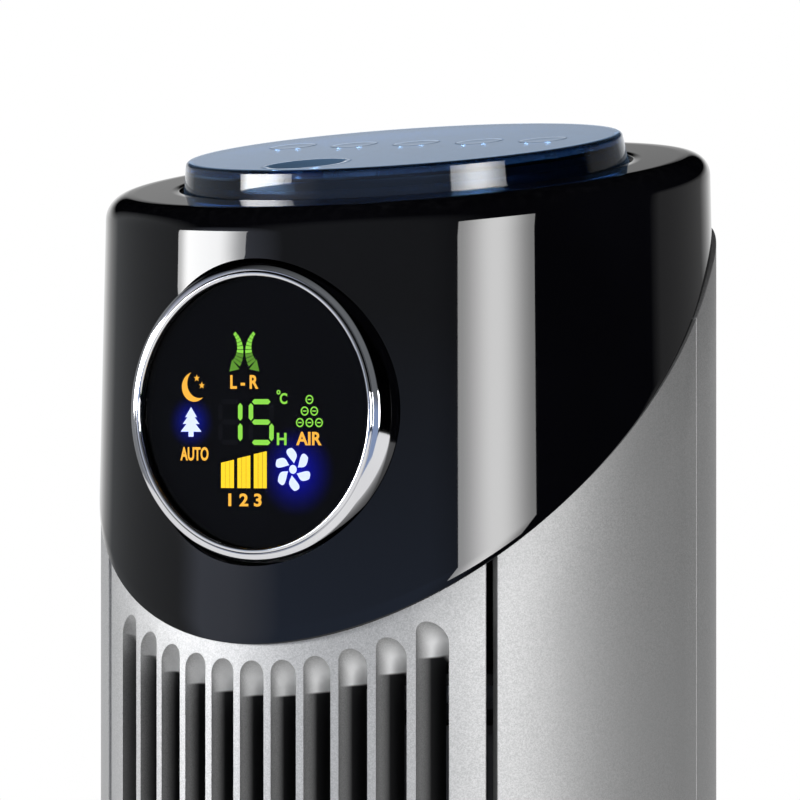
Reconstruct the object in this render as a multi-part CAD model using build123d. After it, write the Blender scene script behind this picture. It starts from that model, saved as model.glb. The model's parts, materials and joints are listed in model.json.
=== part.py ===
from build123d import *
import os
from math import acos, cos, degrees, exp, pi, radians, sin, sqrt, tan

# Tower fan on a round swivel base, built piece by piece.
# Origin: middle of the floor under the base. +Z up, -Y to the front, +X to the right
# as someone facing the front sees it. All lengths are millimetres, all angles degrees.

# ---------------------------------------------------------------- driving sizes
# Clearances
seam = 0.15               # between fixed pieces that lie against each other
shaft_play = 0.05         # radial, a shaft turning in its bush
pilot_play = 0.05         # radial, a screw in its hole
pilot_spare = 2.0         # hole left over past a screw's tip
overlap = 0.5             # how far a rib or post is sunk into the wall that it grows from
past = 1.0                # how far a cut runs out past a face
moving_gap = 0.3          # between pieces that move past each other
thrust_gap = 0.1          # between flat faces that slide on each other

# Column: an upright oval tube of moulded panels
column_half_width = 86.0
column_half_depth = 76.5
skin = 2.5                # wall of the outer panels
collar_bottom = 46.0
collar_top = 95.0
collar_ledge = 2.5        # the column's foot stands on this
collar_ledge_height = 2.0
rear_seam_y = 7.8         # where the side panels meet the rear housing
panel_return = 2.2        # width of the side panel's folded front edge
groove_width = 2.2        # dark channel between grille and side panel
groove_depth = 5.0
tongue_reach = 6.0        # side panel's tongue behind the rear housing
tongue_wall = 2.0

# Front grille
grille_half_width = 59.0
grille_depth = 13.0
slot_count = 11
slot_pitch = 9.5
slot_width = 7.4
slot_start = 14.0         # from the lower plate to the foot of a slot
slot_scoop = 8.6          # how far a slot's ceiling falls on its way in
slot_margin = 5.3         # from the head's edge to the middle slot
slot_margin_side = 7.6    # from the head's edge to the outermost slots
stiffener_count = 3
stiffener_height = 4.0
stiffener_depth = 4.0

# Uprights behind the grooves
upright_width = 10.0
upright_depth = 9.0

# Rear intake
intake_start = 19.0       # from the lower plate to the first slot, and from the last to the upper plate
intake_tiers = 4
intake_bar = 12.0
intake_count = 13
intake_pitch = 8.8
intake_width = 4.4

# Head
head_top = 900.0          # its sloping top, at the column's axis
head_slope = 9.0          # the top falls towards the front
head_wall = 2.5
head_roof = 4.0
head_proud = 1.2          # how far it stands outside the panels
head_draft = 1.3
head_rim_radius = 6.0
edge_drop = 47.6          # from the top to its slanted lower edge, at the axis
edge_angle = 45.0
edge_bend_y = 15.0        # behind this the edge bends up to level
edge_bend_radius = 73.7

# Top lens and its keys
lens_half_width = 63.0
lens_half_depth = 53.8
lens_forward = 1.0
lens_height = 7.5
lens_wall = 2.5
lens_edge_radius = 1.2
lens_recess = 1.5
lens_gap = 1.2
lens_ledge = 6.0
key_travel = 0.8
key_flange = 1.4
key_flange_height = 1.2
key_stem_radius = 2.0
power_key_radius = 12.0
power_key_dish = 2.0
dish_share = 0.88         # a dish's radius against its key's
power_key_x = -7.5
power_key_inset = 16.8    # from the lens's front edge to the power key's middle
small_key_radius = 6.5
small_key_dish = 0.35
small_key_pitch = 20.0
small_key_y = 6.0
key_names = ("speed", "mode", "swing", "timer", "ion")
tray_floor = 0.4          # underside of the key tray above the head's top
tray_wall = 1.5
board_drop = 12.0         # from the tray's floor to the switch board
board_inset = 4.0         # switch board inside the ledge's opening
board_thickness = 1.6
switch_side = 6.0
switch_height = 3.5
plunger_radius = 1.7
plunger_height = 0.8

# Round display
display_drop = 64.7       # from the head's top, at the axis, to the display's middle
bezel_radius = 40.0
bezel_wall = 3.0
bezel_proud = 0.0         # how far its lip stands forward of the oval
bezel_depth = 16.5
bezel_lean_depth = 5.0    # length of its leaning side
bezel_lip_inset = 3.9
sight_inset = 4.2         # from the bezel's outside to the dark glass that shows
window_thickness = 2.5
window_sink = 2.3         # from the bezel's lip to the glass
display_light_depth = 9.0
light_inset = 1.0         # symbol block inside the glass that shows
holder_thickness = 2.5
holder_margin = 6.0       # round each of its screws
holder_corner = 8.0
holder_boss_radius = 3.5
holder_boss_gap = 4.6
holder_pad_inset = 4.0

# Air path
impeller_x = 8.0
impeller_y = 12.0
impeller_radius = 42.0
impeller_inner = 33.5
impeller_floor_gap = 7.0
impeller_roof_gap = 12.0
impeller_sections = 3
disc_thickness = 2.4
blade_count = 30
blade_thickness = 1.1
blade_lean = 24.0         # turn of a blade from its inner to its outer edge
hub_radius = 11.0
hub_height = 16.0
hub_clearance = 3.0
hub_drop = 5.0            # how far the hub hangs below its disc
top_hub_radius = 8.0
top_hub_height = 12.0
top_hub_rise = 4.0
scroll_gap = 5.0
scroll_start = 72.0
scroll_end = -22.0
scroll_growth = 0.17      # spiral growth for each radian
duct_wall = 2.0
duct_mouth_inset = 5.9    # from the grille's side to the duct's inner face
tongue_angle = 201.0
tongue_nose = 4.0
lower_plate_z = 186.0
upper_plate_drop = 136.0  # from the head's top to the duct's roof
plate_thickness = 3.0
bearing_cup_height = 7.0
bearing_cup_wall = 3.0
bearing_cup_floor = 1.0

# Impeller motor
stator_half = 41.0
stator_corner = 14.0
stator_height = 26.0
rotor_radius = 21.0
rotor_gap = 0.4
winding_height = 9.0
winding_width = 7.0
winding_gap = 2.0         # from the rotor outwards
bell_gap = 3.5            # from the winding to the bell
bell_height = 14.0
bell_wall = 2.5
motor_hang = 6.0          # from the lower plate to the motor
motor_shaft_radius = 4.0
bush_radius = 8.0
bush_length = 8.0
bush_seat_wall = 2.0
top_shaft_radius = 3.0
top_bush_radius = 7.0
top_bush_length = 11.0
top_bush_hang = 2.0       # how far it hangs below the upper plate
rubber_radius = 12.0
mount_inset = 10.0        # from the core's side to a fixing screw
mount_radius = 4.0

# Swivel
swing_limit = 35.0
gear_module = 1.5
ring_teeth = 52
pinion_teeth = 13
pressure_angle = 25.0
tooth_play = 0.22         # taken off each tooth's width
centre_play = 0.12
tooth_root = 1.2          # depths of a tooth below and above the pitch line, in modules
tooth_tip = 0.95
gear_height = 6.0
gear_screw_count = 3
gear_screw_turn = 30.0
pinion_bearing = 62.0     # where the pinion stands round the axis
pivot_radius = 22.0
pivot_wall = 5.0
pivot_screw_count = 3
retainer_lip = 8.0
retainer_thickness = 4.0
slide_inner = 63.0
slide_width = 6.0
slide_thickness = 2.0
foot_lift = 10.0          # from the base's top to the column's floor
foot_thickness = 3.0
foot_wall_height = 12.0
stop_gap = 3.0            # from the slide ring inwards
stop_reach = 8.0
stop_width = 7.0
stop_height = 5.0
stop_spare = 1.5          # left over at each end of the swing
swing_motor_radius = 25.0
swing_motor_height = 19.0
swing_motor_roof = 4.0    # over the end of its shaft
ear_reach = 6.0
ear_half_width = 4.0
ear_thickness = 1.5
swing_motor_offset = 10.0
swing_motor_lean = -60.0
swing_shaft_radius = 2.5
swing_shaft_clearance = 1.0

# Base
base_radius = 145.0
base_rim = 9.0
base_top = 42.0
base_flat_radius = 80.0
base_wall = 3.0
base_floor = 3.0
dome_bulge = 7.0          # how far the dome's side stands out from a straight cone
dome_shoulder = 0.66      # and at what share of its height
plate_wall = 2.5
plate_gap = 2.0           # between the base plate and the dome's wall
plate_rim_inset = 6.0
plate_rim_wall = 2.0
plate_rim_height = 4.5
plate_notch_half = 12.0   # gap in the rim for the lead
pivot_land = 8.0
foot_count = 5
foot_radius = 9.0
foot_inset = 25.0         # from the dome's rim to a foot's middle
foot_height = 5.0
foot_cup_wall = 2.5
gland_radius = 7.0
gland_bore = 3.6
gland_z = 17.5
gland_depth = 14.0

# Boards, wiring and posts
board_half_x = 28.0
board_half_y = 17.0
board_x = -30.0
board_y = 30.0
board_stand = 8.0
board_screw_inset = 6.0
standoff_radius = 3.5
tray_post_x = 30.0
tray_post_y = 20.0
tray_post_radius = 3.0
post_radius = 4.5
rear_post_inset = 14.0    # from the oval's side to the middle of a post
rear_post_y = 20.0
front_post_inset = 13.0
front_post_y = -14.5
loom_radius = 3.0
loom_inset = 11.0
loom_y = -4.0
loom_end = 20.0           # past the floor and the roof of the duct

# Boxed parts: place on the floor they stand on, and width, depth, height
capacitor_x = -43.0
capacitor_y = 1.0
capacitor_size = (38.0, 18.0, 28.0)
ion_x = -38.0
ion_y = -24.0
ion_size = (36.0, 20.0, 15.0)
box_chamfer = 1.5
transformer_x = -5.0
transformer_size = (22.0, 18.0, 20.0)
relay_x = 15.0
relay_size = (10.0, 12.0, 12.0)
board_can_x = -21.5
board_can_radius = 4.0
board_can_height = 14.0

# Fasteners
screw_radius = 1.5
screw_head_radius = 3.0
screw_head_height = 2.0
screw_sink = 1.2          # how deep the base plate takes a screw's head
base_screw_length = 9.0
column_screw_length = 12.0
board_screw_length = 6.0

# ---------------------------------------------------------------- worked-out sizes
BOTTOM = (Align.CENTER, Align.CENTER, Align.MIN)
FAR = 2.0 * column_half_width
HIGH = 2.0 * head_top
edge_axis_z = head_top - edge_drop
display_z = head_top - display_drop
upper_plate_z = head_top - upper_plate_drop
sky = head_top + 4.0 * head_wall + column_half_depth * sin(radians(head_slope))
top_plane = Plane(origin=(0, 0, head_top), x_dir=(1, 0, 0),
                  z_dir=(0, -sin(radians(head_slope)), cos(radians(head_slope))))
lens_top = lens_height
lens_under = lens_top - lens_wall
key_flange_top = lens_under - moving_gap
board_top = tray_floor - board_drop
plunger_top = board_top + switch_height + plunger_height
key_bottom = plunger_top + key_travel + thrust_gap
bezel_front = column_half_depth + bezel_proud
bezel_back = bezel_front - bezel_depth
bezel_flank = bezel_front - bezel_lean_depth
bezel_bore = bezel_radius - bezel_wall
bezel_lip_radius = bezel_radius - bezel_lip_inset
window_sight = bezel_radius - sight_inset
window_front = bezel_front - window_sink
window_radius = bezel_bore - seam
window_back = window_front - window_thickness
light_back = window_back - seam - display_light_depth
holder_boss_at = (bezel_radius + holder_boss_radius + holder_boss_gap) / sqrt(2.0)
holder_half = holder_boss_at + holder_margin
winding_inner = rotor_radius + winding_gap
winding_outer = winding_inner + winding_width
bell_radius = winding_outer + bell_gap + bell_wall
mount_spot = stator_half - mount_inset
motor_top = lower_plate_z - motor_hang
stator_top = motor_top - bell_height
stator_bottom = stator_top - stator_height
motor_bottom = stator_bottom - bell_height
upper_plate_top = upper_plate_z + plate_thickness
lower_plate_top = lower_plate_z + plate_thickness
impeller_bottom = lower_plate_top + impeller_floor_gap
impeller_top = upper_plate_z - impeller_roof_gap
slot_bottom = lower_plate_z + slot_start
intake_bottom = lower_plate_z + intake_start
intake_top = upper_plate_z - intake_start
duct_mouth = grille_half_width - duct_mouth_inset
board_corner_x = board_half_x - board_screw_inset
board_corner_y = board_half_y - board_screw_inset
board_z = upper_plate_top + board_stand
gear_bottom = base_top + thrust_gap
gear_top = gear_bottom + gear_height
ring_pitch_radius = gear_module * ring_teeth / 2.0
pinion_pitch_radius = gear_module * pinion_teeth / 2.0
gear_distance = ring_pitch_radius + pinion_pitch_radius + centre_play
gear_screw_ring = (pivot_radius + ring_pitch_radius - tooth_root * gear_module) / 2.0
pinion_x = gear_distance * cos(radians(pinion_bearing))
pinion_y = gear_distance * sin(radians(pinion_bearing))
foot_floor = base_top + foot_lift
slide_outer = slide_inner + slide_width
slide_top = base_top + slide_thickness
stop_outer = slide_inner - stop_gap
stop_inner = stop_outer - stop_reach
land_bottom = slide_top + thrust_gap
foot_top = foot_floor + foot_thickness
pivot_end = base_top - pivot_land - 2.0 * thrust_gap
pivot_bore = pivot_radius - pivot_wall
pivot_screw_ring = (pivot_radius + pivot_bore) / 2.0
retainer_radius = pivot_radius + retainer_lip
plate_radius = base_radius - base_wall - plate_gap
foot_ring = base_radius - foot_inset
panel_edge_x = grille_half_width + groove_width


# ---------------------------------------------------------------- plain shapes
def drum(radius, low, high, x=0.0, y=0.0):
    """Upright cylinder between two heights."""
    return Pos(x, y, low) * Cylinder(radius, high - low, align=BOTTOM)


def tube(outer, inner, low, high, x=0.0, y=0.0):
    """Upright tube between two heights."""
    return drum(outer, low, high, x, y) - drum(inner, low - past, high + past, x, y)


def slab(x_range, y_range, z_range):
    """Box between two corners."""
    spans = [sorted(span) for span in (x_range, y_range, z_range)]
    size = [high - low for low, high in spans]
    middle = [(high + low) / 2.0 for low, high in spans]
    return Pos(*middle) * Box(*size)


def oval(inset, low, high):
    """Upright prism on the column's oval, drawn in by inset."""
    face = Ellipse(column_half_width - inset, column_half_depth - inset)
    return Pos(0, 0, low) * extrude(face, amount=high - low)


def shell(outer_inset, inner_inset, low, high):
    """Upright oval wall between two insets."""
    return oval(outer_inset, low, high) - oval(inner_inset, low - past, high + past)


def disc_forward(radius, back, front, x=0.0, z=display_z):
    """Cylinder along Y between two distances forward of the axis."""
    axis_plane = Plane(origin=(x, -back, z), x_dir=(1, 0, 0), z_dir=(0, -1, 0))
    return axis_plane * Cylinder(radius, front - back, align=BOTTOM)


def screw(length, head_up=True):
    """Pan-head screw, head on top and shank down from z = 0, or the other way up."""
    head = Cylinder(screw_head_radius, screw_head_height, align=BOTTOM)
    head = chamfer(head.edges().group_by(Axis.Z)[-1], screw_head_height / 4.0)
    body = head + Pos(0, 0, -length) * Cylinder(screw_radius, length + overlap, align=BOTTOM)
    return body if head_up else Rot(180, 0, 0) * body


def pilot(low, high, x, y):
    """Hole that a screw's shank fills with a hair of play."""
    return drum(screw_radius + pilot_play, low, high, x, y)


def spots(count, radius, first=0.0):
    """Points evenly spaced on a circle."""
    turn = 2.0 * pi / count
    return [(radius * cos(radians(first) + i * turn), radius * sin(radians(first) + i * turn))
            for i in range(count)]


def gear_screw_spots():
    """Where the screws stand that hold the ring gear."""
    return spots(gear_screw_count, gear_screw_ring, gear_screw_turn)


def pivot_screw_spots():
    """Where the screws stand that hold the washer under the pivot."""
    return spots(pivot_screw_count, pivot_screw_ring, 90.0)


def base_screw_spots():
    """Where the base plate's screws stand: midway between the feet."""
    return spots(foot_count, foot_ring, 90.0 + 180.0 / foot_count)


def post_spots():
    """Where the posts stand that tie foot, plates and head together, clear of the duct."""
    rear = (column_half_width - rear_post_inset, rear_post_y)
    front = (column_half_width - front_post_inset, front_post_y)
    return [(side * x, y) for side in (-1, 1) for x, y in (rear, front)]


def corners(x, y):
    """The four corners of a rectangle about the axis."""
    return [(i * x, j * y) for i in (-1, 1) for j in (-1, 1)]


def above_edge(lift=0.0):
    """All that lies above the head's slanted lower edge, moved up by lift."""
    rise = tan(radians(edge_angle))
    bend = (edge_bend_y, edge_axis_z + edge_bend_y * rise + lift)
    front = (-FAR, edge_axis_z - FAR * rise + lift)
    slope = Line(front, bend)
    curve = JernArc(bend, (1, rise), edge_bend_radius, -edge_angle)
    level = Line(curve @ 1, (FAR, (curve @ 1).Y))
    closing = Polyline(level @ 1, (FAR, sky + FAR), (-FAR, sky + FAR), front)
    return extrude(Plane.YZ * make_face([slope, curve, level, closing]), amount=FAR, both=True)


def below_top(drop=0.0):
    """All that lies under the head's sloping top, moved down by drop."""
    return top_plane * Pos(0, 0, -drop - FAR) * Cylinder(FAR, FAR, align=BOTTOM)


def highest_edge(body):
    """The edge whose middle stands highest, such as the rim of a sloping top."""
    return sorted(body.edges(), key=lambda edge: edge.center().Z)[-1:]


def grille_front_y(x, inset=0.0):
    """Where the front of the oval stands at a given x."""
    return -(column_half_depth - inset) * sqrt(1.0 - (x / (column_half_width - inset)) ** 2)


# ---------------------------------------------------------------- base
def base_outline(inset):
    """Half section of the base's dome, drawn in by inset."""
    top = base_top - inset
    rim = base_radius - inset
    shoulder = ((rim + base_flat_radius) / 2.0 + dome_bulge, base_rim + dome_shoulder * (top - base_rim))
    dome = ThreePointArc((rim, base_rim), shoulder, (base_flat_radius, top))
    low = base_floor - overlap
    outline = Polyline((base_flat_radius, top), (0, top), (0, low), (rim, low), (rim, base_rim))
    return Plane.XZ * make_face([dome, outline])


def make_base_shell():
    """Domed cover with the pivot land, the stop and bosses for the base plate's screws."""
    dome = revolve(base_outline(0.0), Axis.Z)
    hollow = revolve(base_outline(base_wall), Axis.Z) + drum(base_radius - base_wall, 0.0, base_rim)
    land = drum(retainer_radius + base_wall, base_top - pivot_land, base_top)
    body = dome - hollow + land
    for x, y in base_screw_spots():
        boss = drum(post_radius, base_floor + plate_wall + seam, base_top, x, y) & dome
        body += boss - pilot(0.0, base_floor + screw_sink + base_screw_length + pilot_spare, x, y)
    stop = tube(stop_outer, stop_inner, base_top - overlap, base_top + stop_height)
    stop &= slab((-stop_width / 2.0, stop_width / 2.0), (-FAR, 0), (0, HIGH))
    body += stop
    body -= drum(pivot_radius + shaft_play, 0.0, HIGH)
    for x, y in gear_screw_spots():
        body -= pilot(0.0, HIGH, x, y)
    gland = Pos(0, base_radius, gland_z) * Rot(90, 0, 0) * Cylinder(gland_radius, 3.0 * gland_depth)
    return body - gland


def make_base_plate():
    """Flat bottom cover with pockets for the feet and screw holes."""
    plate = drum(plate_radius, base_floor, base_floor + plate_wall)
    rim = plate_radius - plate_rim_inset
    ring_wall = tube(rim, rim - plate_rim_wall, base_floor, base_floor + plate_wall + plate_rim_height)
    plate += ring_wall - slab((-plate_notch_half, plate_notch_half), (0, FAR), (base_floor + plate_wall, HIGH))
    for x, y in spots(foot_count, foot_ring, 90.0):
        plate += drum(foot_radius + foot_cup_wall, base_floor, foot_height + plate_wall, x, y)
        plate -= drum(foot_radius + seam, 0.0, foot_height, x, y)
    for x, y in base_screw_spots():
        plate -= pilot(0.0, HIGH, x, y)
        plate -= drum(screw_head_radius + moving_gap, 0.0, base_floor + screw_sink, x, y)
    return plate


def make_feet():
    """Five rubber feet, each a disc with a soft lower edge."""
    foot = Cylinder(foot_radius, foot_height, align=BOTTOM)
    foot = chamfer(foot.edges().group_by(Axis.Z)[0], foot_height / 6.0)
    return [Pos(x, y, 0) * foot for x, y in spots(foot_count, foot_ring, 90.0)]


def make_base_screws():
    """Screws up through the base plate into the dome's bosses, and down through the ring gear."""
    plate_seat = base_floor + screw_sink
    gear_seat = gear_top - screw_head_height - moving_gap
    pieces = [Pos(x, y, plate_seat) * screw(base_screw_length, head_up=False)
              for x, y in base_screw_spots()]
    pieces += [Pos(x, y, gear_seat) * screw(base_screw_length) for x, y in gear_screw_spots()]
    return pieces


def make_cord_gland():
    """Rubber ring in the dome's rear wall, where a supply lead would enter."""
    inside = base_radius - gland_depth
    plane = Plane(origin=(0, inside, gland_z), x_dir=(1, 0, 0), z_dir=(0, 1, 0))
    body = plane * Cylinder(gland_radius - seam, gland_depth, align=BOTTOM)
    body = chamfer(body.edges().sort_by(Axis.Y)[-1:], gland_bore / 4.0)
    return body - plane * Pos(0, 0, -past) * Cylinder(gland_bore, gland_depth + 2.0 * past, align=BOTTOM)


# ---------------------------------------------------------------- swivel
def involute_turn(radius, base_circle):
    """Angle that an involute has turned when it reaches a radius."""
    if radius <= base_circle:
        return 0.0
    slope = acos(base_circle / radius)
    return tan(slope) - slope


def gear_face(teeth, first=0.0):
    """Spur gear outline: each flank runs root, pitch and tip of an involute, less the play."""
    pitch = gear_module * teeth / 2.0
    base_circle = pitch * cos(radians(pressure_angle))
    depths = (-tooth_root, -0.5 * tooth_root, 0.0, 0.6 * tooth_tip, tooth_tip)
    radii = [pitch + depth * gear_module for depth in depths]
    half = pi / (2.0 * teeth) - tooth_play / (2.0 * pitch)
    at_pitch = involute_turn(pitch, base_circle)
    points = []
    for tooth in range(teeth):
        middle = radians(first) + 2.0 * pi * tooth / teeth
        flank = [(r, half + at_pitch - involute_turn(r, base_circle)) for r in radii]
        for r, turn in flank:
            points.append((r * cos(middle - turn), r * sin(middle - turn)))
        for r, turn in reversed(flank):
            points.append((r * cos(middle + turn), r * sin(middle + turn)))
    return make_face(Polyline(points, close=True))


def make_swing_ring_gear():
    """Fixed gear round the pivot that the swing pinion rolls on."""
    half_tooth = 180.0 / ring_teeth
    outline = gear_face(ring_teeth, pinion_bearing + half_tooth)
    gear = Pos(0, 0, gear_bottom) * extrude(outline, amount=gear_height)
    gear -= drum(pivot_radius + 4.0 * moving_gap, 0.0, HIGH)
    for x, y in gear_screw_spots():
        gear -= pilot(0.0, HIGH, x, y)
        gear -= drum(screw_head_radius + moving_gap, gear_top - screw_head_height - moving_gap, HIGH, x, y)
    return gear


def make_slide_ring():
    """Slippery ring that carries the column's weight on the base."""
    return tube(slide_outer, slide_inner, base_top, slide_top)


def make_column_foot():
    """Floor of the column with its hollow pivot, sliding land and two swing stops."""
    body = oval(skin + moving_gap, foot_floor, foot_top)
    body += shell(skin + moving_gap, 2.0 * skin + moving_gap, foot_floor, foot_top + foot_wall_height)
    body += tube(slide_outer, slide_inner, land_bottom, foot_floor + overlap)
    body += drum(pivot_radius, pivot_end, foot_floor + overlap)
    stop_turn = degrees(stop_width / (stop_inner + stop_outer) * 2.0) + swing_limit + stop_spare
    for side in (-1, 1):
        lug = tube(stop_outer, stop_inner, base_top + 3.0 * moving_gap, foot_floor + overlap)
        lug &= slab((-stop_width / 2.0, stop_width / 2.0), (-FAR, 0), (0, HIGH))
        body += Rot(0, 0, side * stop_turn) * lug
    body -= drum(pivot_bore, 0.0, HIGH)
    body -= drum(swing_shaft_radius + swing_shaft_clearance, 0.0, HIGH, pinion_x, pinion_y)
    pivot_pilot = column_screw_length - retainer_thickness + pilot_spare
    for x, y in pivot_screw_spots():
        body -= pilot(pivot_end - past, pivot_end + pivot_pilot, x, y)
    post_pilot = column_screw_length - plate_thickness + pilot_spare
    for x, y in post_spots():
        post = drum(post_radius, foot_top, lower_plate_z, x, y)
        body += post - pilot(lower_plate_z - post_pilot, HIGH, x, y)
    return body


def make_pivot_retainer():
    """Washer screwed under the pivot, which keeps the column on the base."""
    ring = tube(retainer_radius, pivot_bore, pivot_end - retainer_thickness, pivot_end)
    for x, y in pivot_screw_spots():
        ring -= pilot(0.0, HIGH, x, y)
    return ring


def swing_motor_centre():
    """The swing motor's can stands beside its own output shaft, towards the right."""
    lean = radians(swing_motor_lean)
    return pinion_x + swing_motor_offset * cos(lean), pinion_y + swing_motor_offset * sin(lean)


def make_swing_motor():
    """Flat geared motor on the column's floor with two fixing ears."""
    x, y = swing_motor_centre()
    can = drum(swing_motor_radius, foot_top, foot_top + swing_motor_height, x, y)
    can = chamfer(can.edges().group_by(Axis.Z)[-1], ear_thickness)
    for side in (-1, 1):
        reach = (x, x + side * (swing_motor_radius + ear_reach))
        can += slab(reach, (y - ear_half_width, y + ear_half_width), (foot_top, foot_top + ear_thickness))
    socket_top = foot_top + swing_motor_height - swing_motor_roof
    return can - drum(swing_shaft_radius + shaft_play, 0.0, socket_top, pinion_x, pinion_y)


def make_drive_pinion():
    """Pinion under the column's floor, in mesh with the ring gear."""
    gear = extrude(gear_face(pinion_teeth, pinion_bearing + 180.0), amount=gear_height - moving_gap)
    gear = Pos(pinion_x, pinion_y, gear_bottom + moving_gap) * gear
    return gear - drum(swing_shaft_radius, 0.0, HIGH, pinion_x, pinion_y)


def make_pinion_shaft():
    """Output shaft of the swing motor, pressed into the pinion."""
    top = foot_top + swing_motor_height - swing_motor_roof - moving_gap
    return drum(swing_shaft_radius, gear_bottom + moving_gap, top, pinion_x, pinion_y)


# ---------------------------------------------------------------- column panels
def make_lower_collar():
    """Gloss band round the foot of the column."""
    band = shell(-head_proud, skin, collar_bottom, collar_top)
    return band + shell(skin - overlap, skin + collar_ledge, foot_floor - collar_ledge_height, foot_floor)


def slot_top(x):
    """Height of a slot's rounded end: it follows the head's edge at a growing margin."""
    edge = edge_axis_z + grille_front_y(x) * tan(radians(edge_angle))
    outermost = slot_pitch * (slot_count - 1) / 2.0
    return edge - slot_margin - (slot_margin_side - slot_margin) * (x / outermost) ** 2


def slot_cutter(x):
    """A slot as a tall rounded window that gets shorter towards the inside, top and bottom."""
    faces = []
    for depth in (-slot_width, 1.5 * grille_depth):
        height = slot_top(x) - slot_bottom - 2.0 * slot_scoop * depth / grille_depth
        middle = (slot_top(x) + slot_bottom) / 2.0
        plane = Plane(origin=(x, grille_front_y(x) + depth, middle), x_dir=(1, 0, 0), z_dir=(0, -1, 0))
        faces.append(plane * SlotOverall(height, slot_width, rotation=90))
    return loft(faces, ruled=True)


def make_front_grille():
    """Front panel with deep ribs between scooped slots and recessed cross bars."""
    front = slab((-grille_half_width, grille_half_width), (-FAR, 0), (0, HIGH))
    body = shell(0.0, grille_depth, collar_top + seam, sky) & front
    low = collar_top + skin
    pocket = shell(skin, grille_depth + past, low, slot_bottom - 2.0 * skin)
    inside = grille_half_width - skin
    body -= pocket & slab((-inside, inside), (-FAR, 0), (0, HIGH))
    body -= [slot_cutter((i - (slot_count - 1) / 2.0) * slot_pitch) for i in range(slot_count)]
    reach = slot_pitch * (slot_count - 1) / 2.0 + slot_width / 2.0
    for i in range(stiffener_count):
        z = slot_bottom + (slot_top(0.0) - slot_bottom) * (i + 1) / (stiffener_count + 1)
        bar = shell(grille_depth - stiffener_depth, grille_depth, z, z + stiffener_height)
        body += bar & slab((-reach, reach), (-FAR, 0), (0, HIGH))
    return body - above_edge(-seam)


def make_upright(side):
    """Dark post behind the groove between the grille and a side panel."""
    wall = shell(groove_depth, groove_depth + upright_depth, foot_top + foot_wall_height + seam, sky)
    low = grille_half_width + seam
    wall &= slab((side * low, side * (low + upright_width)), (-FAR, 0), (0, HIGH))
    return wall - above_edge(-2.0 * skin)


def make_side_panel(side):
    """Smooth side panel, folded in at the front and with a tongue behind the rear housing."""
    low = collar_top + seam
    half = (side * panel_edge_x, side * FAR)
    outer = slab(half, (-FAR, rear_seam_y - seam), (0, HIGH))
    body = shell(0.0, skin, low, sky) & outer
    fold = slab((side * panel_edge_x, side * (panel_edge_x + panel_return)), (-FAR, 0), (0, HIGH))
    body += shell(0.0, groove_depth - seam, low, sky) & fold
    reach = (rear_seam_y - 3.0 * tongue_reach, rear_seam_y + tongue_reach)
    back = shell(skin + seam, skin + seam + tongue_wall, low, sky)
    root = shell(skin - overlap, skin + seam + tongue_wall, low, sky)
    body += back & slab(half, reach, (0, HIGH))
    body += root & slab(half, (reach[0], rear_seam_y - 2.0 * skin), (0, HIGH))
    return body - above_edge(-seam)


def make_rear_housing():
    """Back of the column with four tiers of upright intake slots."""
    behind = slab((-FAR, FAR), (rear_seam_y + seam, FAR), (0, HIGH))
    body = shell(0.0, skin, collar_top + seam, sky) & behind
    tier = (intake_top - intake_bottom - (intake_tiers - 1) * intake_bar) / intake_tiers
    slot = extrude(Plane.XZ * Rectangle(intake_width, tier), amount=column_half_depth)
    slots = []
    for i in range(intake_tiers):
        z = intake_bottom + tier / 2.0 + i * (tier + intake_bar)
        for j in range(intake_count):
            x = (j - (intake_count - 1) / 2.0) * intake_pitch
            slots.append(Pos(x, column_half_depth + skin, z) * slot)
    return body - above_edge(-seam) - slots


# ---------------------------------------------------------------- air path
def plate(low):
    """Oval plate across the column, notched for the grille's ribs and the uprights."""
    body = oval(skin + moving_gap, low, low + plate_thickness)
    high = low + plate_thickness
    tongues = shell(0.0, skin + seam + tongue_wall + moving_gap, low - past, high + past)
    reach = (rear_seam_y - 3.0 * tongue_reach - past, rear_seam_y + tongue_reach + past)
    body -= tongues & slab((-FAR, FAR), reach, (0, HIGH))
    notch = shell(0.0, groove_depth + upright_depth + seam, low - past, high + past)
    reach = grille_half_width + upright_width + 2.0 * seam
    body -= notch & slab((-reach, reach), (-FAR, 0), (0, HIGH))
    for x, y in post_spots():
        body -= pilot(0.0, HIGH, x, y)
    return body - drum(loom_radius + moving_gap, 0.0, HIGH, column_half_width - loom_inset, loom_y)


def make_lower_plate():
    """Floor of the air duct, which the motor hangs from."""
    body = plate(lower_plate_z) - drum(hub_radius + hub_clearance, 0.0, HIGH, impeller_x, impeller_y)
    for x, y in corners(mount_spot, mount_spot):
        body -= pilot(0.0, HIGH, impeller_x + x, impeller_y + y)
    return body


def make_upper_plate():
    """Roof of the air duct with the top bearing's cup and standoffs for the power board."""
    body = plate(upper_plate_z)
    cup_top = upper_plate_z + bearing_cup_height
    body += drum(rubber_radius + bearing_cup_wall, upper_plate_z, cup_top, impeller_x, impeller_y)
    body -= drum(rubber_radius + seam, upper_plate_z + bearing_cup_floor, HIGH, impeller_x, impeller_y)
    body -= drum((rubber_radius + top_bush_radius) / 2.0, 0.0, HIGH, impeller_x, impeller_y)
    for x, y in corners(board_corner_x, board_corner_y):
        standoff = tube(standoff_radius, screw_radius + pilot_play, upper_plate_top, board_z)
        body += Pos(board_x + x, board_y + y) * standoff
    for x, y in post_spots():
        body -= pilot(0.0, HIGH, x, y)
    return body


def spiral_point(angle, extra=0.0):
    """Point of the duct's spiral wall, at an angle about the impeller."""
    radius = (impeller_radius + scroll_gap) * exp(scroll_growth * radians(scroll_start - angle)) + extra
    return impeller_x + radius * cos(radians(angle)), impeller_y + radius * sin(radians(angle))


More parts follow.
